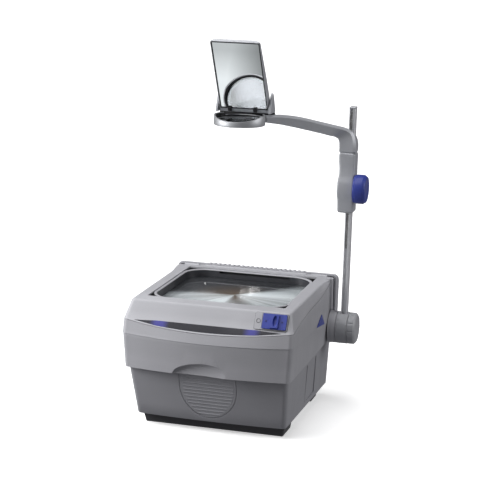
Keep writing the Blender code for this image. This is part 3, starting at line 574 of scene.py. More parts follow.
finish = {
    "shell": moulded("shell_grey", (0.38, 0.38, 0.405)),
    # The same grey plastic as the shell, painted darker for the shade under the housing's overhang; the grip
    # uses it too.
    "tub": moulded("shell_dark", (0.33, 0.33, 0.355), rough=0.5, wear=0.1),
    "skirt": moulded("skirt_charcoal", (0.062, 0.062, 0.067), rough=0.55, wear=0.05),
    "black": moulded("trim_black", (0.02, 0.02, 0.022), rough=0.45, wear=0.04),
    # Near-black painted shade: the window's inner wall and corner flange are the frame's plastic, painted
    # dark for the shade in the well.
    "window": moulded("window_plastic", (0.045, 0.046, 0.053), rough=0.38, wear=0.1),
    "knob": moulded("knob_grey", (0.37, 0.375, 0.395), rough=0.45),
    "blue": moulded("accent_blue", (0.042, 0.06, 0.3), rough=0.34, depth=0.07, wear=0.1, spread=0.06),
    "dark_blue": moulded("thumb_blue", (0.02, 0.025, 0.13), rough=0.4, depth=0.07, wear=0.05),
    "paint": coated("head_grey", (0.46, 0.47, 0.5)),
    "silver": brushed("silver_metal", (0.84, 0.85, 0.87), 0.4, (3500, 3500, 25), metallic=0.7),
    "ring": brushed("ring_metal", (0.5, 0.51, 0.53), 0.5, (300, 300, 5000), depth=0.08, metallic=0.85),
    "steel": brushed("bright_steel", (0.6, 0.6, 0.6), 0.32, (2500, 300, 300)),
    "sheet": brushed("sheet_steel", (0.55, 0.56, 0.57), 0.42, (500, 500, 60), stain=0.3),
    "brass": brushed("pinion_brass", (0.75, 0.58, 0.28), 0.3, (2500, 300, 300)),
    "ceramic": ceramic("ceramic_white"),
    "glass": clear_glass("clear_glass", (0.93, 0.96, 0.96)),
    "lens": clear_glass("lens_glass", (0.95, 0.97, 0.98), 0.01, 1.52),
    "pane": pane_glass("stage_pane"),
    "fresnel": grooved_lens("fresnel_acrylic"),
    "mirror": silvered("mirror_silver"),
    "bowl": brushed("reflector_metal", (0.85, 0.85, 0.86), 0.15, (400, 400, 400), depth=0.04),
    "badge": badge("badge_black"),
}


# ---- Outlines of the base ----

STAGE_HALF = 127.4
TOP = 239.0
LID_REAR = 141.5
WALL = 3.2
HOUSING_BOTTOM = 118.0
RIDGE_FRONT = -179.0
HOUSING_REAR = 154.6
COVER_HALF = 160.0
BASE_REAR = 194.0
GLASS_TOP = 224.0
FRONT_STEPS, CORNER_STEPS, SIDE_STEPS = 14, 9, 30
FLARE_FROM = 70.0


def outline(half_front, half_rear, front, rear, bow, radius, flare=0.0):
    """Plan outline of the base, counter-clockwise from the middle of the front, as vectors with z = 0."""
    flat = half_front - radius
    right = [(flat * i / FRONT_STEPS, front - bow * (1 - (i / FRONT_STEPS) ** 2)) for i in range(FRONT_STEPS)]
    right += arc(flat, front + radius, radius, -90, 0, CORNER_STEPS)
    lean = (half_rear - half_front) / (rear - front)
    for i in range(1, SIDE_STEPS):
        y = front + radius + (rear - front - 2 * radius) * i / SIDE_STEPS
        share = max(0.0, (y - FLARE_FROM) / (rear - FLARE_FROM))
        right.append((half_front + lean * (y - front) + flare * share * share * (3 - 2 * share), y))
    right += arc(half_rear + flare - radius, rear - radius, radius, 0, 90, CORNER_STEPS)
    left = [(-x, y) for x, y in reversed(right[1:])]
    return [Vector((x, y, 0)) for x, y in right + left]


def inset(points, by):
    """An outline moved inwards, square to itself."""
    result = []
    for i, here in enumerate(points):
        tangent = (points[(i + 1) % len(points)] - points[i - 1]).normalized()
        result.append(Vector((here.x - tangent.y * by, here.y + tangent.x * by, here.z)))
    return result


def lifted(points, height):
    """An outline at a height, which may be a function of x and y."""
    if callable(height):
        return [Vector((p.x, p.y, height(p.x, p.y))) for p in points]
    return [Vector((p.x, p.y, height)) for p in points]


def mix(first, second, t):
    return [a.lerp(b, t) for a, b in zip(first, second)]


def fold(low, middle, high, before, after, steps):
    """Rings from low to high by way of the middle one, with the fold there rounded off."""
    start, end = mix(low, middle, 1 - before), mix(middle, high, after)
    rings = [low, mix(low, start, 0.5), start]
    for i in range(1, steps):
        t = i / steps
        rings.append(mix(mix(start, middle, t), mix(middle, end, t), t))
    return rings + [end, high]


# Heights of the seam under the lid and of the crease in the housing, by y along the sides.
SEAM_SIDE = ((-180, 205.0), (-150, 209.5), (-110, 214.5), (-60, 218.5), (0, 219.5), (50, 222.5), (100, 229.0),
             (135, 235.0), (150, 235.8))
CREASE_SIDE = ((-180, 181.0), (-84, 179.0), (-28, 176.0), (41, 165.5), (85, 160.5), (155, 159.0))


def front_dip(x, depth):
    """How far a line on the front sags at a place across it."""
    return depth * (1 - min(1.0, abs(x) / 146.0) ** 2)


def seam_height(x, y):
    return 205.0 - front_dip(x, 10.5) if y < RIDGE_FRONT + 1 else table_value(SEAM_SIDE, y)


def crease_height(x, y):
    return 181.0 - front_dip(x, 3.0) if y < RIDGE_FRONT + 1 else table_value(CREASE_SIDE, y)


def seam_outline(rear):
    return outline(155.0, 155.2, RIDGE_FRONT, rear, 12.0, 9)


# ---- Base ----

REAR_NARROWING = 0.965
TUB_FOOT, TUB_WAIST = 22.0, 113.0
TUB_SLOPE = (168.0 - 141.0) / (TUB_WAIST - TUB_FOOT)
GRIP_MIDDLE, GRIP_HALF, GRIP_SHOULDER, GRIP_BOTTOM, GRIP_TOP = 1.0, 52.0, 92.0, 31.0, 116.0
# Section of a rib on the grip: depth under the tub's face and height over the rib's middle.
RIB_SECTION = ((0.9, 2.2), (0.35, 1.0), (0.05, -0.1), (0.2, -0.8), (0.9, -1.2))


def make_tub():
    """Lower shell, with a pocket for the grip plate and shallow upright panels on both sides."""
    low = outline(139, 146, -141, 166, 5, 9)
    waist = outline(146.4, 147.2, -168, 182, 5, 9)
    high = outline(147, 147.4, -170, 183, 5, 9)

    def rim(x, y):
        return 128.0 - 10.6 / (1 + math.exp(-(y - 100.0)))

    def below_rim(x, y):
        return min(TUB_WAIST, rim(x, y) - 4.0)

    base, upper, edge = lifted(low, TUB_FOOT + 1.6), lifted(waist, below_rim), lifted(high, rim)
    rings = [inset(lifted(low, TUB_FOOT), 1.6), base]
    rings += [mix(base, upper, t) for t in (0.25, 0.5, 0.75)]
    rings += [upper, edge, inset(edge, 3.0), inset(upper, 3.0), inset(lifted(low, TUB_FOOT + 3.1), 3.0)]
    cuts = [grip_block(1.0, -2.4, 12.0), slab((-70, 70), (-40, 100), (20, 28))]
    cuts += [side_panel(side, y) for side in (-1, 1) for y in ((-58.0, -12.0), (-9.0, 58.0))]
    # The tub's colour is the shell plastic painted darker for the shade under the housing.
    piece("tub_shell", "base", "tub", loft(rings), bevel=0.7, cuts=cuts, replaces=["lower_tub"])


def side_panel(side, y):
    """Cutter for a shallow upright panel in the sloping side of the tub."""
    (foot_x, foot_z), (head_x, head_z) = (142.2258, 34.0), (145.3808, 106.0)
    corners = ((foot_x, foot_z), (foot_x + 12, foot_z), (head_x + 12, head_z), (head_x, head_z))
    return loft([[Vector((side * x, at, z)) for x, z in corners] for at in y])


def tub_face(height):
    """Where the middle of the tub's front face is at a height."""
    return -146.0 - TUB_SLOPE * (height - TUB_FOOT)


def grip_block(margin, low, high):
    """Half-oval block on the front of the tub, from a depth under its face to a height over it."""
    half, drop = GRIP_HALF + margin, GRIP_SHOULDER - GRIP_BOTTOM + margin
    edge = [(GRIP_MIDDLE + half, GRIP_TOP)]
    for i in range(37):
        angle = math.pi * i / 36
        edge.append((GRIP_MIDDLE + half * math.cos(angle), GRIP_SHOULDER - drop * math.sin(angle)))
    edge.append((GRIP_MIDDLE - half, GRIP_TOP))
    return loft([[Vector((x, tub_face(z) - out, z)) for x, z in edge] for out in (low, high)])


def make_grip():
    ribs = []
    for i in range(11):
        height = 105.5 - i * 6.7
        fall = max(0.0, (GRIP_SHOULDER - height) / (GRIP_SHOULDER - GRIP_BOTTOM))
        reach = GRIP_HALF * math.sqrt(1 - fall * fall) - 5.0
        section = [(tub_face(height) + depth, height + rise) for depth, rise in RIB_SECTION]
        ribs.append(prism(section, (GRIP_MIDDLE - reach, GRIP_MIDDLE + reach)))
    piece("grip_face", "base", "tub", grip_block(0.0, -2.1, -0.7), bevel=0.5, replaces=["grip_plate"])
    piece("grip_ribs", "base", "tub", merged(ribs), bevel=0.25)


def make_feet():
    kept("skirt", "front_foot", "rear_foot_right", "rear_foot_left", bevel=0.6)
    kept("sheet", "bottom_plate", bevel=0.3)


def housing_lip(bottom, height, narrow):
    """Inner edge of the housing: thick behind the scoop, and closed over the low rear part of the tub."""
    ring = []
    for p in inset(lifted(bottom, height), WALL):
        x = p.x * (narrow if p.y > 104 else 1.0)
        ring.append(Vector((x, p.y + (8.0 if p.y < -150 else 0.0), p.z)))
    return ring


def make_housing():
    """Upper shell, with the crease round it, the scoop over the grip and an opening behind."""
    bottom = outline(151.5, 153.5, -178, HOUSING_REAR, 12, 9)
    crease = outline(156.2, 156.5, -183, HOUSING_REAR, 13, 10)
    foot = lifted(bottom, HOUSING_BOTTOM)
    face_top = inset(lifted(crease, lambda x, y: crease_height(x, y) - 0.9), 0.8)
    groove = inset(lifted(crease, lambda x, y: crease_height(x, y) - 0.1), 0.9)
    lip = lifted(crease, lambda x, y: crease_height(x, y) + 0.1)
    band = lifted(seam_outline(HOUSING_REAR), seam_height)
    outer = [foot] + [mix(foot, face_top, t) for t in (0.3, 0.6, 0.9)] + [face_top, groove, lip]
    outer += [mix(lip, band, t) for t in (0.06, 0.3, 0.6, 0.94)] + [band]
    inner = [
        inset(band, WALL),
        inset(lifted(crease, crease_height), WALL),
        inset(lifted(bottom, 146.0), WALL),
        housing_lip(bottom, 142.0, 1.0),
        housing_lip(bottom, 121.0, 1.0),
        housing_lip(bottom, 120.5, REAR_NARROWING),
        housing_lip(bottom, HOUSING_BOTTOM, REAR_NARROWING),
    ]
    scoop = ball((57, 7.4, 23.5), "Z", math.radians(-4.5), (-2, -191.5, HOUSING_BOTTOM), 96)
    air = slab((-62, 62), (HOUSING_REAR - 8, HOUSING_REAR + 4), (100, 182))
    piece("housing_shell", "base", "shell", loft(outer + inner, loop=True), bevel=0.8, segments=3,
          cuts=[scoop, air], replaces=["upper_housing"])
    kept("blue", "side_inlay_right", "side_inlay_left", bevel=0.2)


def cover_ring(y, half, low, high, radius):
    return [Vector((x, y, z)) for x, z in round_rect((-half, half), (low, high), radius, 8)]


def make_rear_cover():
    """Rear cover with its air slots, the opening for the power inlet and room for the mast."""
    # Each section: y, half width, bottom, top and corner radius.
    sections = [
        (HOUSING_REAR + 0.35, COVER_HALF - 1.5, 118.0, 240.5, 7.0),
        (160.0, COVER_HALF, 118.0, 240.5, 7.0),
        (172.0, COVER_HALF, 118.0, 238.5, 8.0),
        (184.0, COVER_HALF - 1.5, 119.5, 231.5, 9.0),
        (191.0, COVER_HALF - 5.5, 123.0, 222.0, 10.0),
        (BASE_REAR, COVER_HALF - 11.5, 129.0, 213.0, 10.0),
    ]
    inner = [cover_ring(min(y, 190.5), half - WALL, low + WALL, high - WALL, radius - 2.5)
             for y, half, low, high, radius in reversed(sections[:-1])]
    outer = [cover_ring(y, min(half, COVER_HALF), low, high, radius)
             for ((y, half, low, high, radius),) in spline_rings([[Vector(each)] for each in sections], 4)]
    slots = []
    for row in range(7):
        z = 142.0 + row * 9.0
        slots += [slab(x, (187, 198), (z, z + 4.5)) for x in ((-52, -3), (3, 52))]
    inlet = slab((-130.3, -81.7), (185, 198), (139.7, 168.3))
    relief = turned("x", (0, 125.0, 147.0), [(32.7, 150), (32.7, 172)])
    piece("cover_shell", "base", "shell", loft(inner + outer), bevel=0.6,
          cuts=[merged(slots), inlet, relief], replaces=["rear_cover"])


def make_cover_ribs():
    section = [(156.6, 239.0), (156.6, 240.9), (158.0, 241.8), (166.0, 241.3), (171.4, 239.7), (171.4, 237.6)]
    ribs = [prism(section, (-98 + i * 9.4, -93.4 + i * 9.4)) for i in range(21)]
    piece("cover_ribs", "base", "shell", merged(ribs), bevel=0.4)


LUG_PLACE = 108


def make_hinge_rail():
    pivot = joint_point("lid_hinge")
    y, z = pivot.y, pivot.z
    section = [(150.6, 226.0), (y - 4.5, 226.0)] + arc(y, z, 4.5, 180, 45, 14) + [(150.6, 238.6)]
    ribs = [slab((-88 + i * 9.0, -84 + i * 9.0), (y - 1.3, 149.8), (z + 2.0, z + 4.8)) for i in range(20)]
    notches = [slab((x - 5.5, x + 5.5), (138, 154), (231.8, 246)) for x in (-LUG_PLACE, LUG_PLACE)]
    piece("rail", "base", "shell", prism(section, (-142.5, 142.5)), bevel=0.35,
          joins=[merged(ribs)], cuts=[merged(notches)], replaces=["hinge_rail"])
    kept("steel", "lid_pin_left", "lid_pin_right")


def make_boss():
    pivot = joint_point("mast_fold")
    profile = [(0, 0), (32.0, 0), (31.2, 1.2), (30.6, 3.4), (30.5, 12.6), (29.6, 13.6), (0, 13.6)]
    piece("boss", "base", "shell", turned("x", (157.6, pivot.y, pivot.z), profile, 96), sharp=50,
          replaces=["mast_boss"])
    kept("steel", "pivot_bolt")


def make_inside():
    kept("sheet", "lamp_tray", "lamp_house", "condenser_frame", bevel=0.3)
    kept("steel", "thermal_switch", "fan_motor")
    kept("black", "terminal_block", "power_inlet", "fan_frame", bevel=0.4)
    kept("skirt", "fan_rotor", bevel=0.3)
    kept("ceramic", "lamp_socket", bevel=0.4)
    kept("bowl", "lamp_reflector")
    kept("glass", "lamp", "heat_glass", "condenser_lens")


# ---- Stage lid ----

PANEL_LOW = Vector((-176.5, 207.5))
PANEL_UP = (Vector((-159.5, 237.5)) - PANEL_LOW).normalized()
SWITCH_MIDDLE = 17.5


def make_lid():
    """The lid's shell: a rounded frame with the window's opening, and two hinge lugs behind."""
    seam = seam_outline(LID_REAR)
    panel = outline(154.0, 154.6, -176.5, LID_REAR, 0.5, 8)
    corner = outline(146.2, 147.6, -158.65, LID_REAR, 0, 7, flare=5.8)
    window = outline(STAGE_HALF, STAGE_HALF, -STAGE_HALF, STAGE_HALF, 0, 1.2)

    def over_seam(x, y):
        return min(seam_height(x, y) + 0.9, 236.8)

    def over_panel(x, y):
        return 207.9 if y < -172 else min(seam_height(x, y) + 3.4, 237.2)

    edge = lifted(corner, TOP)
    rings = [lifted(seam, over_seam)]
    rings += fold(lifted(panel, over_panel), edge, inset(edge, 5.0), 0.13, 0.8, 6)
    rings += [lifted(window, TOP), lifted(window, TOP - WALL), inset(lifted(corner, TOP - WALL), 5.0)]
    rings.append(inset(lifted(panel, lambda x, y: min(over_panel(x, y), 234.0)), 4.2))
    rings.append(inset(lifted(seam, over_seam), WALL))
    lug = [(136.5, 233.0), (148.0, 233.0), (149.6, 235.0), (149.6, 238.4), (148.0, 240.0), (136.5, 238.0)]
    lugs = [prism(lug, (x - 5, x + 5)) for x in (-LUG_PLACE, LUG_PLACE)]
    piece("lid_shell", "stage_lid", "shell", loft(rings, loop=True), bevel=0.6, segments=3,
          joins=[merged(lugs)], replaces=["stage_lid"])


def window_rings(*sections):
    """Square rings round the middle of the stage, by half width, corner radius and height."""
    rings = []
    for half, radius, height in sections:
        square = round_rect((-half, half), (-half, half), radius, 16)
        rings.append([Vector((x, y, height)) for x, y in square])
    return rings


def make_stage():
    """The window: its rim, its wall with the film slot, the stage glass and the lens sheet."""
    rim = window_rings((126.8, 44, 237.3), (123.6, 41.2, 237.3), (122.3, 40.2, 236.7), (122.0, 40, 235.6),
                       (126.8, 44, 235.6))
    piece("window_rim", "stage_lid", "shell", loft(rim, loop=True), bevel=0.4)
    wall = window_rings((126.8, 44, 235.5), (122, 40, 235.5), (122, 40, 220.6), (120, 38, 220.6),
                        (120, 38, 214.6), (126.8, 44, 214.6))
    # The wall takes the near-black painted shade; the rim above keeps the shell grey.
    piece("window_wall", "stage_lid", "window", loft(wall, loop=True), bevel=0.3,
          cuts=[slab((-65, 75), (116, 134), (230.6, 235.2))], replaces=["window_frame"])
    # The flange takes the same near-black painted shade.
    flange = window_rings((127.2, 1.2, 215.0), (126.9, 44, 215.0), (126.9, 44, 217.0), (127.2, 1.2, 217.0))
    piece("corner_flange", "stage_lid", "window", loft(flange, loop=True))
    # Black sheet behind the film slot: painted shade of the slot's depth.
    piece("slot_liner", "stage_lid", "black", slab((-66, 76), (126.9, 127.15), (229.5, 236.0)))
    pane = window_rings((121.6, 39.6, GLASS_TOP - 1.0), (121.6, 39.6, GLASS_TOP))
    piece("stage_pane", "stage_lid", "pane", loft(pane), bevel=0.3, replaces=["stage_glass"])
    sheet = window_rings((119.8, 37.8, 217.4), (119.8, 37.8, 220.4), (121.2, 39.2, 220.8),
                         (121.2, 39.2, 222.7))
    piece("grooved_sheet", "stage_lid", "fresnel", loft(sheet), replaces=["fresnel_lens"])


def panel_point(x, along, out):
    """A point on the sloping front panel: distance up from its lower edge and out from its face."""
    y = PANEL_LOW.x + PANEL_UP.x * along - PANEL_UP.y * out
    z = PANEL_LOW.y + PANEL_UP.y * along + PANEL_UP.x * out
    return Vector((x, y, z))


def panel_plate(x, along, out, radius):
    """A plate with round corners on the front panel."""
    shape = round_rect(x, along, radius, 6)
    return loft([[panel_point(a, b, level) for a, b in shape] for level in out])


def panel_rings(x, profile, steps):
    """Round rings in the middle of the switch. The profile holds (radius, distance out from the panel)."""
    return [[panel_point(x + a, SWITCH_MIDDLE + b, out) for a, b in circle(steps, radius)]
            for radius, out in profile]


def make_badge():
    """Dark raised band along the lid's front edge, pointed at both ends."""
    rings = []
    for i in range(57):
        x = -133.0 + 266.0 * i / 56
        share = 1 - (x / 146.0) ** 2
        taper = min(1.0, (133.2 - abs(x)) / 40.0) ** 0.7
        inner = Vector((x, -177.1, 207.9))
        outer = Vector((x, RIDGE_FRONT - 12.0 * share, 205.35 - 10.5 * share))
        middle = inner.lerp(outer, 0.42)
        high, low = middle.lerp(inner, 0.95 * taper), middle.lerp(outer, 0.7 * taper)
        lift = Vector((0, -0.35, 0.55))
        crown = (high + low) / 2 + lift * (1.0 + 1.3 * taper)
        rings.append([low - lift * 0.6, high - lift * 0.6, high + lift * 0.8, crown, low + lift * 0.8])
    piece("badge_band", "stage_lid", "badge", loft(rings), sharp=50, replaces=["badge_strip"])


def make_switch():
    """Lamp switch on the front panel: frame, a black outline round it as painted shade, off mark, and a blue
    slider with a hollow thumb rest.
    """
    track = panel_plate((96.6, 142.2), (3.4, 32.0), (1.1, 4.0), 2.2)
    surround = panel_plate((84, 143), (2.5, 33.0), (0.3, 2.0), 3.2)
    piece("switch_frame", "stage_lid", "shell", surround, bevel=0.5, cuts=[track],
          replaces=["switch_surround"])
    # A black plate a little wider than the frame: a painted shadow line round it.
    piece("switch_gasket", "stage_lid", "black", panel_plate((83.3, 143.7), (1.9, 33.6), (-0.4, 0.45), 3.8))
    ring = panel_rings(90.6, ((3.9, 1.8), (3.9, 2.3), (3.1, 2.3), (3.1, 1.8)), 32)
    piece("off_mark", "stage_lid", "skirt", loft(ring, loop=True))
    slider = panel_plate((98, 141), (4.0, 31.5), (2.35, 4.4), 1.6)
    piece("slider_plate", "lamp_switch", "blue", slider, bevel=0.5, replaces=["switch_slider"])
    tilt = math.atan2(PANEL_UP.x, PANEL_UP.y)
    hollow = ball((4.4, 5.2, 10.5), "X", -tilt, panel_point(121.5, 17.8, 9.2), 48)
    thumb = panel_plate((111.5, 127), (5.5, 30.0), (3.6, 8.0), 1.8)
    piece("slider_thumb", "lamp_switch", "blue", thumb, bevel=0.5, cuts=[hollow])
    for name, x in (("slider_dot_left", 104.5), ("slider_dot_right", 133.5)):
        dot = panel_rings(x, ((1.7, 4.0), (1.7, 4.7), (1.2, 4.85)), 24)
        piece(name, "lamp_switch", "dark_blue", loft(dot))


# ---- Mast ----


def mast_bore(margin, low, high):
    """Cutter a little wider than the mast, between two heights."""
    corner, far = node_box("mast")
    return slab((corner.x - margin, far.x + margin), (corner.y - margin, far.y + margin), (low, high))


def make_mast():
    kept("silver", "mast", bevel=0.5)
    kept("paint", "mast_cap", bevel=0.4)
    kept("steel", "focus_rack")
    pivot = joint_point("mast_fold")
    low, high = node_box("pivot_hub")
    wide = high.x - low.x
    profile = [(0, 0), (29.5, 0), (30.3, 0.5), (30.5, 1.4), (30.5, wide - 1.4), (30.3, wide - 0.5),
               (29.5, wide), (0, wide)]
    pocket = mast_bore(0.5, node_box("mast")[0].z - 0.3, 190)
    piece("hub", "mast", "knob", turned("x", (low.x, pivot.y, pivot.z), profile, 96), sharp=50, cuts=[pocket],
          replaces=["pivot_hub"])


KNOB_STEPS = 168
KNOB_LOBES = 12


def make_clamp_knob():
    """Grip with broad shallow lobes, a chamfer and a plain face."""
    low, high = node_box("clamp_knob")
    pivot = joint_point("clamp_knob_turn")
    wide = high.x - low.x
    # Each level: distance along the axis, radius, and depth of the grooves between the lobes.
    levels = [(0.0, 28.4, 0.0), (0.6, 29.6, 0.2), (1.6, 30.0, 1.0), (wide - 4.6, 30.0, 1.0),
              (wide - 3.8, 29.7, 0.8), (wide - 0.9, 26.6, 0.0), (wide - 0.2, 25.4, 0.0), (wide, 24.2, 0.0),
              (wide - 0.6, 21.5, 0.0), (wide - 0.9, 8.0, 0.0), (wide - 0.9, LEAST_RADIUS, 0.0)]
    rings = []
    for along, radius, dip in levels:
        ring = []
        for i, (a, b) in enumerate(circle(KNOB_STEPS)):
            lobe = abs(((i * KNOB_LOBES / KNOB_STEPS) % 1.0) - 0.5) * 2
            reach = radius - dip / (1 + math.exp((0.86 - lobe) * 40))
            ring.append(Vector((low.x + along, pivot.y + reach * a, pivot.z + reach * b)))
        rings.append(ring)
    piece("clamp_grip", "clamp_knob", "knob", loft(rings), sharp=28, replaces=["clamp_knob"])


# ---- Carriage, arm and head ----

CARRIAGE_X = (163.2, 194.0)
CARRIAGE_Y = (107.5, 141.5)
JOINT_ARCH = 4.6
PINION_Y, PINION_Z = 109.6, 418.5
BARREL_LOW, BARREL_HIGH = 539.0, 558.0
BARREL_STEPS = 128
LENS_RADIUS = 40.0
HINGE_BORE = 2.6
MIRROR_LEAN = math.radians(31.0)


def arch(x):
    """How far the joint between carriage and arm rises at a place across it."""
    return JOINT_ARCH * (1 - ((x - sum(CARRIAGE_X) / 2) / 15.4) ** 2)


def carriage_ring(x, y, z):
    return [Vector((a, b, z)) for a, b in round_rect(x, y, 3.2, 5)]


def make_carriage():
    """Sleeve on the mast, swollen where it holds the focus pinion, with an arched top."""
    x0, x1 = CARRIAGE_X
    y0, y1 = CARRIAGE_Y
    # Each level: height, inset of the left side, bulge of the front, and inset of the right and rear.
    levels = [(371.5, 4.2, -2.4, 2.2), (372.3, 2.6, -1.0, 1.0), (374.2, 1.4, 0.4, 0.3), (377.0, 1.0, 1.2, 0),
              (395.0, 0.8, 3.2, 0), (408.0, 0.1, 7.8, 0), (418.5, 0.0, 8.8, 0), (429.0, 0.3, 7.6, 0),
              (443.0, 1.6, 2.4, 0), (457.0, 1.3, 0.2, 0), (468.0, 0.4, 0.0, 0), (476.0, 0.0, 0.0, 0)]
    rings = spline_rings([carriage_ring((x0 + left, x1 - pinch), (y0 - front, y1 - pinch), z)
                          for z, left, front, pinch in levels], 4)
    for by, z in ((0.0, 480.8), (1.5, 482.3)):
        top = carriage_ring((x0 + by, x1 - by), (y0 + by, y1 - by), z)
        rings.append([Vector((p.x, p.y, p.z + arch(p.x))) for p in top])
    cavity = turned("x", (0, PINION_Y, PINION_Z), [(9.2, 179.4), (9.2, 186.6)], 40)
    shaft = turned("x", (0, PINION_Y, PINION_Z), [(3.1, 183), (3.1, 200)], 24)
    piece("carriage_sleeve", "head_carriage", "paint", loft(rings), bevel=0.9, segments=3, sharp=40,
          cuts=[mast_bore(0.4, 365, 490), cavity, shaft], replaces=["carriage"])


def arm_section(outer, inner, turn, thick):
    """Points around the arm: a broad bevel on the outer side, a small one on the inner side."""
    outer, inner = Vector(outer), Vector(inner)
    across = Vector((math.sin(math.radians(turn)), -math.cos(math.radians(turn)), 0))
    run = (outer - inner).normalized()
    half = across * thick / 2
    broad, small = min(5.0, thick * 0.25), 2.0
    return [
        inner + half + run * small, outer + half - run * broad, outer + half - across * broad,
        outer - half + across * broad, outer - half - run * broad, inner - half + run * small,
        inner - half + across * small, inner + half - across * small,
    ]


def make_arm():
    """Arm from the carriage up and over to the head."""
    x0, x1 = CARRIAGE_X
    middle, deep = sum(CARRIAGE_Y) / 2, CARRIAGE_Y[1] - CARRIAGE_Y[0]
    # Each section: a point on its outer side and one on its inner side, its turn in plan and its thickness.
    sections = [
        ((x1 - 0.1, middle, 487.5), (x0 + 0.1, middle, 487.5), 0, deep - 0.2),
        ((x1, middle, 499), (x0, middle, 495), 0, deep),
        ((191.5, middle, 512), (161.5, middle, 503.5), 4, deep - 1),
        ((184.5, 123.0, 523.5), (157.5, 121.5, 510), 12, deep - 4),
        ((172.0, 115.5, 530.5), (150.5, 113.0, 514.5), 22, 26),
        ((155.0, 103.0, 536.0), (142.0, 96.5, 518.0), 31, 22),
        ((130.0, 86.0, 543.2), (130.0, 86.0, 522.0), 34, 19),
        ((97.0, 64.5, 552.0), (97.0, 64.5, 531.0), 34, 17),
        ((66.0, 44.0, 556.4), (66.0, 44.0, 538.8), 34, 16),
        ((41.0, 27.4, 555.6), (41.0, 27.4, 543.0), 34, 15),
    ]
    narrow = arm_section((x1 - 1.5, middle, 487.5), (x0 + 1.5, middle, 487.5), 0, deep - 3.0)
    foot = [Vector((p.x, p.y, 482.6 + arch(p.x))) for p in narrow]
    rings = [foot] + spline_rings([arm_section(*section) for section in sections], 6)
    piece("arm_beam", "head_carriage", "paint", loft(rings), bevel=1.3, segments=4, sharp=26,
          cuts=[mast_bore(0.4, 478, 560)], replaces=["arm"])


def barrel_top(sine):
    """Height of the barrel's upper edge: it slopes down to the front and dips behind, by the hinge bar."""
    y = 46.0 * sine
    if y > 25.5:
        return max(553.6, BARREL_HIGH - (y - 25.5) * 2.2)
    if y >= 20:
        return BARREL_HIGH
    slope = 558.6 + (y + 8.0) * 12.6 / 52.0
    blend = 1 / (1 + math.exp(-(y + 12.0) / 3.0))
    return min(slope * (1 - blend) + BARREL_HIGH * blend, BARREL_HIGH)


def upright(point, section):
    """A section of (radius, height) stood up round the lens axis, in the direction of a point."""
    return [Vector((radius * point[0], radius * point[1], z)) for radius, z in section]


def make_head():
    """Lens barrel with its liner, the two lenses and the ring between them."""
    low, barrel, liner = BARREL_LOW, [], []
    for point in circle(BARREL_STEPS):
        top = barrel_top(point[1])
        barrel.append(upright(point, (
            (37.0, low), (44.6, low), (46.2, low + 0.6), (46.8, low + 2.2), (46.8, top - 0.9),
            (46.4, top - 0.2), (45.6, top), (44.5, top - 0.1), (43.8, top - 0.8), (43.8, low + 2.2),
            (37.0, low + 2.2),
        )))
        liner.append(upright(point, (
            (43.75, 549.6), (43.75, top - 1.4), (43.2, top - 1.4), (42.6, top - 2.9), (42.6, 549.6),
        )))
    piece("lens_barrel", "head_carriage", "ring", loft(barrel, loop=True), sharp=40, replaces=["head_ring"])
    piece("barrel_liner", "head_carriage", "black", loft(liner, loop=True))
    flat = [(0, 0), (43.2, 0), (43.2, 3.4), (0, 3.4)]
    under = turned("z", (0, 0, low + 2.5), flat, 96)
    piece("lens_under", "head_carriage", "lens", under, replaces=["lens_lower"])
    section = ((43.2, low + 6.2), (43.2, low + 8.2), (40.5, low + 8.2), (40.5, low + 6.2))
    shim = loft([upright(point, section) for point in circle(96)], loop=True)
    piece("lens_shim", "head_carriage", "black", shim, replaces=["lens_spacer"])
    dome = [(0, 0), (LENS_RADIUS, 0), (LENS_RADIUS, 0.8)]
    for i in range(1, 13):
        share = 1 - i / 12
        dome.append((LENS_RADIUS * share, 0.8 + 3.8 * (1 - share * share)))
    over = turned("z", (0, 0, low + 8.5), dome, 96)
    piece("lens_over", "head_carriage", "lens", over, replaces=["lens_upper"])


def make_hinge():
    """Two cheeks on the head that hold the mirror's pin, and the bar between them."""
    pivot = joint_point("mirror_tilt")
    y, z = pivot.y, pivot.z
    cheek = chaikin([(y - 17, 558.8), (y + 22, 558.8), (y + 21, 563), (y + 6, 592), (y + 1.5, 596.6),
                     (y - 3, 594.5), (y - 15, 566)], (0, 1))
    for side, word in ((1, "right"), (-1, "left")):
        near, far = sorted((side * 46, side * 50.2))
        bore = turned("x", (0, y, z), [(HINGE_BORE, near), (HINGE_BORE, far)], 24)
        piece("cheek_" + word, "head_carriage", "paint", prism(cheek, sorted((side * 47.6, side * 52.0))),
              bevel=1.6, segments=4, sharp=40, cuts=[bore], replaces=["hinge_cheek_" + word])
    bar = slab((-52, 52), (48.2, 59.0), (541.0, 558.4))
    piece("hinge_beam", "head_carriage", "black", bar, bevel=2.0, segments=4, replaces=["hinge_bar"])
    kept("steel", "mirror_pin")


def mirror_point(x, along, behind):
    """A point on the leaning mirror: distance up from its axis and distance behind its face."""
    pivot = joint_point("mirror_tilt")
    y = pivot.y - math.sin(MIRROR_LEAN) * along + math.cos(MIRROR_LEAN) * behind
    z = pivot.z + math.cos(MIRROR_LEAN) * along + math.sin(MIRROR_LEAN) * behind
    return Vector((x, y, z))


def mirror_frame(half, low, high, behind):
    """A rectangle parallel to the mirror's face."""
    corners = ((-half, low), (half, low), (half, high), (-half, high))
    return [mirror_point(x, along, behind) for x, along in corners]


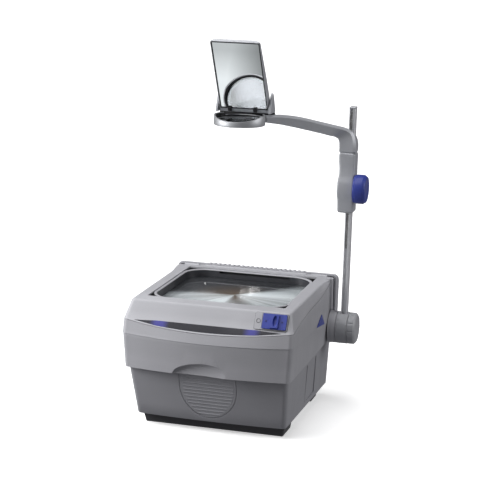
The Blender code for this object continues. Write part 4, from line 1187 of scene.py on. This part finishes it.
def make_mirror():
    """The mirror's shell with a pocket for the glass, and the seal round the glass."""
    rings = []
    # Each section: distance up from the axis, depth of the face and depth of the back.
    for along, face, back in ((-3.5, -4.0, 4.5), (2.0, -6.0, 9.5), (14.0, -6.0, 15.0), (60.0, -6.0, 12.0),
                              (110.0, -6.0, 6.0), (149.5, -6.0, 1.5), (153.0, -6.0, 1.0)):
        side = 43.8 if along > 150 else 46.0
        corners = [(-side, face), (side, face), (side, back - 4), (side - 5, back - 0.8), (side - 12, back),
                   (12 - side, back), (5 - side, back - 0.8), (-side, back - 4)]
        rings.append([mirror_point(x, along, behind) for x, behind in corners])
    pocket = loft([mirror_frame(43.8, 6.2, 150.8, behind) for behind in (-8.0, -3.2)])
    pivot = joint_point("mirror_tilt")
    pin = turned("x", (0, pivot.y, pivot.z), [(HINGE_BORE, -60), (HINGE_BORE, 60)], 24)
    piece("mirror_back", "mirror", "paint", loft(rings), bevel=1.1, segments=3, sharp=30, cuts=[pocket, pin],
          replaces=["mirror_shell"])
    kept("mirror", "mirror_glass")
    outer, inner = (44.9, 5.0, 151.9), (42.7, 7.4, 149.7)
    seal = [mirror_frame(*outer, -6.15), mirror_frame(*outer, -4.0),
            mirror_frame(*inner, -4.0), mirror_frame(*inner, -6.15)]
    piece("mirror_seal", "mirror", "black", loft(seal, loop=True), bevel=0.3)
    kept("black", "mirror_clip_left", "mirror_clip_right")


def make_focus_drive():
    low, high = node_box("focus_knob")
    centre = joint_point("focus_knob_turn")
    wide, r = high.x - low.x, 27.3
    profile = [(0, 0), (r - 3.4, 0), (r - 1.6, 0.5), (r - 1.0, 1.6), (r - 0.9, 4.2), (r - 0.1, 5.0), (r, 6.0),
               (r, wide - 6.0), (r - 0.3, wide - 5.2), (r - 3.2, wide - 0.9), (r - 4.2, wide - 0.2),
               (r - 5.6, wide), (r - 7.0, wide - 0.5), (r - 8.2, wide - 0.9), (0, wide - 1.6)]
    grip = turned("x", (low.x, centre.y, centre.z), profile, 120)
    piece("focus_grip", "focus_drive", "blue", grip, sharp=35, replaces=["focus_knob"])
    kept("steel", "focus_shaft")
    kept("brass", "focus_pinion")


# ---- Stage, lights and camera ----

CAMERA_PLACE = Vector((721.0, -2627.1, 891.05))
WHITE = (1, 1, 1, 1)


def stage_block(name, x, y, z, material, unseen_by):
    """A block that is no piece of the object, hidden from some kinds of ray."""
    block = new_object(name, mesh_data(name, slab(x, y, z)))
    block.data.materials.append(material)
    for rays in unseen_by:
        setattr(block, "visible_" + rays, False)


def make_floor():
    """Pale floor that only the camera sees, so that it neither lights nor shades the object."""
    made, tree, shader = new_material("pale_floor")
    speck = noise(tree, spot(tree), 3.0)
    fill(tree, shader, {
        "Base Color": blend(tree, speck, (0.9, 0.9, 0.9, 1), (0.92, 0.92, 0.92, 1)),
        "Roughness": 0.9,
        "Specular IOR Level": 0.1,
        "Emission Color": WHITE,
        "Emission Strength": 0.45,
    })
    wide = (-40000, 40000)
    stage_block("floor", wide, wide, (-20.0, -0.05), made, ("diffuse", "glossy", "transmission", "shadow"))


def make_mirror_card():
    """Grey card between lid and mirror that only the mirror and bright metal can see."""
    made, tree, shader = new_material("mirror_card")
    along = remap(tree, from_middle(tree, "Y"), 0.62, 1.0, -0.213, -0.15)
    across = remap(tree, from_middle(tree, "X"), 1.0, 0.36, -0.135, -0.06)
    glow = {"Color": (0.95, 0.99, 1.0, 1), "Strength": product(tree, along, across)}
    tree.nodes.remove(shader)
    show_surface(tree, node(tree, "Emission", glow)[0])
    stage_block("mirror_card", (-420, 20), (-520, -70), (262.0, 262.5), made,
                ("camera", "diffuse", "shadow", "transmission"))


def aimed(obj, place, target):
    obj.location = Vector(place) * MM + ORIGIN
    direction = (Vector(target) - Vector(place)).normalized()
    obj.rotation_mode = "QUATERNION"
    obj.rotation_quaternion = direction.to_track_quat("-Z", "Y")


def add_area(name, place, target, size, power):
    lamp = bpy.data.lights.new(name, "AREA")
    lamp.shape = "RECTANGLE"
    lamp.size, lamp.size_y = size[0] * MM, size[1] * MM
    lamp.energy = power
    obj = new_object(name, lamp)
    aimed(obj, place, target)
    return obj


def lit_by(lamps, name, piece_name):
    """Lets these lamps light one piece only."""
    receiver = bpy.data.collections.new(name)
    receiver.objects.link(bpy.data.objects[piece_name])
    for lamp in lamps:
        lamp.light_linking.receiver_collection = receiver


REAR_DISTANCE, GLINT_DISTANCE = 2000, 1200

# Lamps low behind the object: name, azimuth, elevation, size and power.
REAR_LAMPS = (("rear_left", -42, 25, (1800, 2750), 20), ("rear_right", 12, 20, (1950, 2980), 26))

# Where on the stage glass each glint shows, its width and height, and its lamp's power.
GLINTS = ((-75.0, 59.0, 3.0, 2.0, 0.0003), (21.0, 40.0, 10.0, 3.0, 0.0014), (24.0, 52.0, 10.0, 3.0, 0.0014),
          (28.0, 64.0, 8.0, 3.0, 0.0012), (12.0, 13.0, 14.0, 2.5, 0.001), (21.0, 23.0, 12.0, 2.5, 0.001))


def make_lights():
    """A broad light from above, two at the sides, and lamps behind that only the lens sheet sees."""
    sun = bpy.data.lights.new("top_light", "SUN")
    sun.energy = 3.4
    sun.angle = math.radians(70)
    aimed(new_object("top_light", sun), (-1200, -450, 2800), (0, 0, 0))
    add_area("key_left", (-900, -560, 500), (0, -150, 250), (450, 450), 8.6)
    add_area("fill_right", (2600, 250, 1200), (0, 0, 350), (1200, 1600), 27)
    lamps = []
    for name, azimuth, elevation, size, power in REAR_LAMPS:
        turn, rise = math.radians(azimuth), math.radians(elevation)
        way = Vector((math.sin(turn), math.cos(turn), math.tan(rise)))
        target = Vector((0, 0, GLASS_TOP))
        lamps.append(add_area(name, target + REAR_DISTANCE * way, target, size, power))
    lit_by(lamps, "lit_from_behind", "grooved_sheet")


def make_world():
    """White for the camera, and a dark room for all other rays."""
    world = bpy.data.worlds.new("studio")
    bpy.context.scene.world = world
    world.use_nodes = True
    tree = world.node_tree
    path = node(tree, "LightPath")["Is Camera Ray"]
    up = node(tree, "SeparateXYZ", {0: node(tree, "TexCoord")["Generated"]})["Z"]
    room = blend(tree, up, (0.26, 0.26, 0.27, 1), (0.07, 0.07, 0.075, 1), -0.3, 0.0)
    fill(tree, tree.nodes["Background"], {"Color": mixed(tree, path, room, WHITE), "Strength": 1.0})


def make_glints():
    """Small lamps that only the stage glass sees, each where the camera finds its mirror image."""
    lamps = []
    for index, (x, y, wide, tall, power) in enumerate(GLINTS):
        on_glass = Vector((x, y, GLASS_TOP))
        ray = (on_glass - CAMERA_PLACE).normalized()
        place = on_glass + GLINT_DISTANCE * Vector((ray.x, ray.y, -ray.z))
        lamps.append(add_area("glint_%d" % index, place, on_glass, (wide, tall), power))
    lit_by(lamps, "glass_only", "stage_pane")


def make_camera():
    """The camera of the photograph, from its turn, its tilt down and its roll."""
    yaw, pitch, roll = math.radians(15.20), math.radians(11.71), math.radians(1.64)
    ahead = Vector((-math.sin(yaw) * math.cos(pitch), math.cos(yaw) * math.cos(pitch), -math.sin(pitch)))
    level = Vector((math.cos(yaw), math.sin(yaw), 0))
    upward = level.cross(ahead)
    right = math.cos(roll) * level + math.sin(roll) * upward
    up = -math.sin(roll) * level + math.cos(roll) * upward
    data = bpy.data.cameras.new("camera")
    data.sensor_width = 36.0
    data.lens = 113.5
    data.clip_start, data.clip_end = 0.05, 200.0
    camera = new_object("camera", data)
    place = CAMERA_PLACE * MM + ORIGIN
    camera.matrix_world = Matrix((
        (right.x, up.x, -ahead.x, place.x),
        (right.y, up.y, -ahead.y, place.y),
        (right.z, up.z, -ahead.z, place.z),
        (0, 0, 0, 1),
    ))
    bpy.context.scene.camera = camera
    bpy.context.scene.view_settings.view_transform = "Standard"


make_camera()
make_floor()
make_mirror_card()
make_tub()
make_grip()
make_feet()
make_housing()
make_rear_cover()
make_cover_ribs()
make_hinge_rail()
make_boss()
make_inside()
make_lid()
make_stage()
make_badge()
make_switch()
make_mast()
make_clamp_knob()
make_carriage()
make_arm()
make_head()
make_hinge()
make_mirror()
make_focus_drive()
make_lights()
make_world()
make_glints()
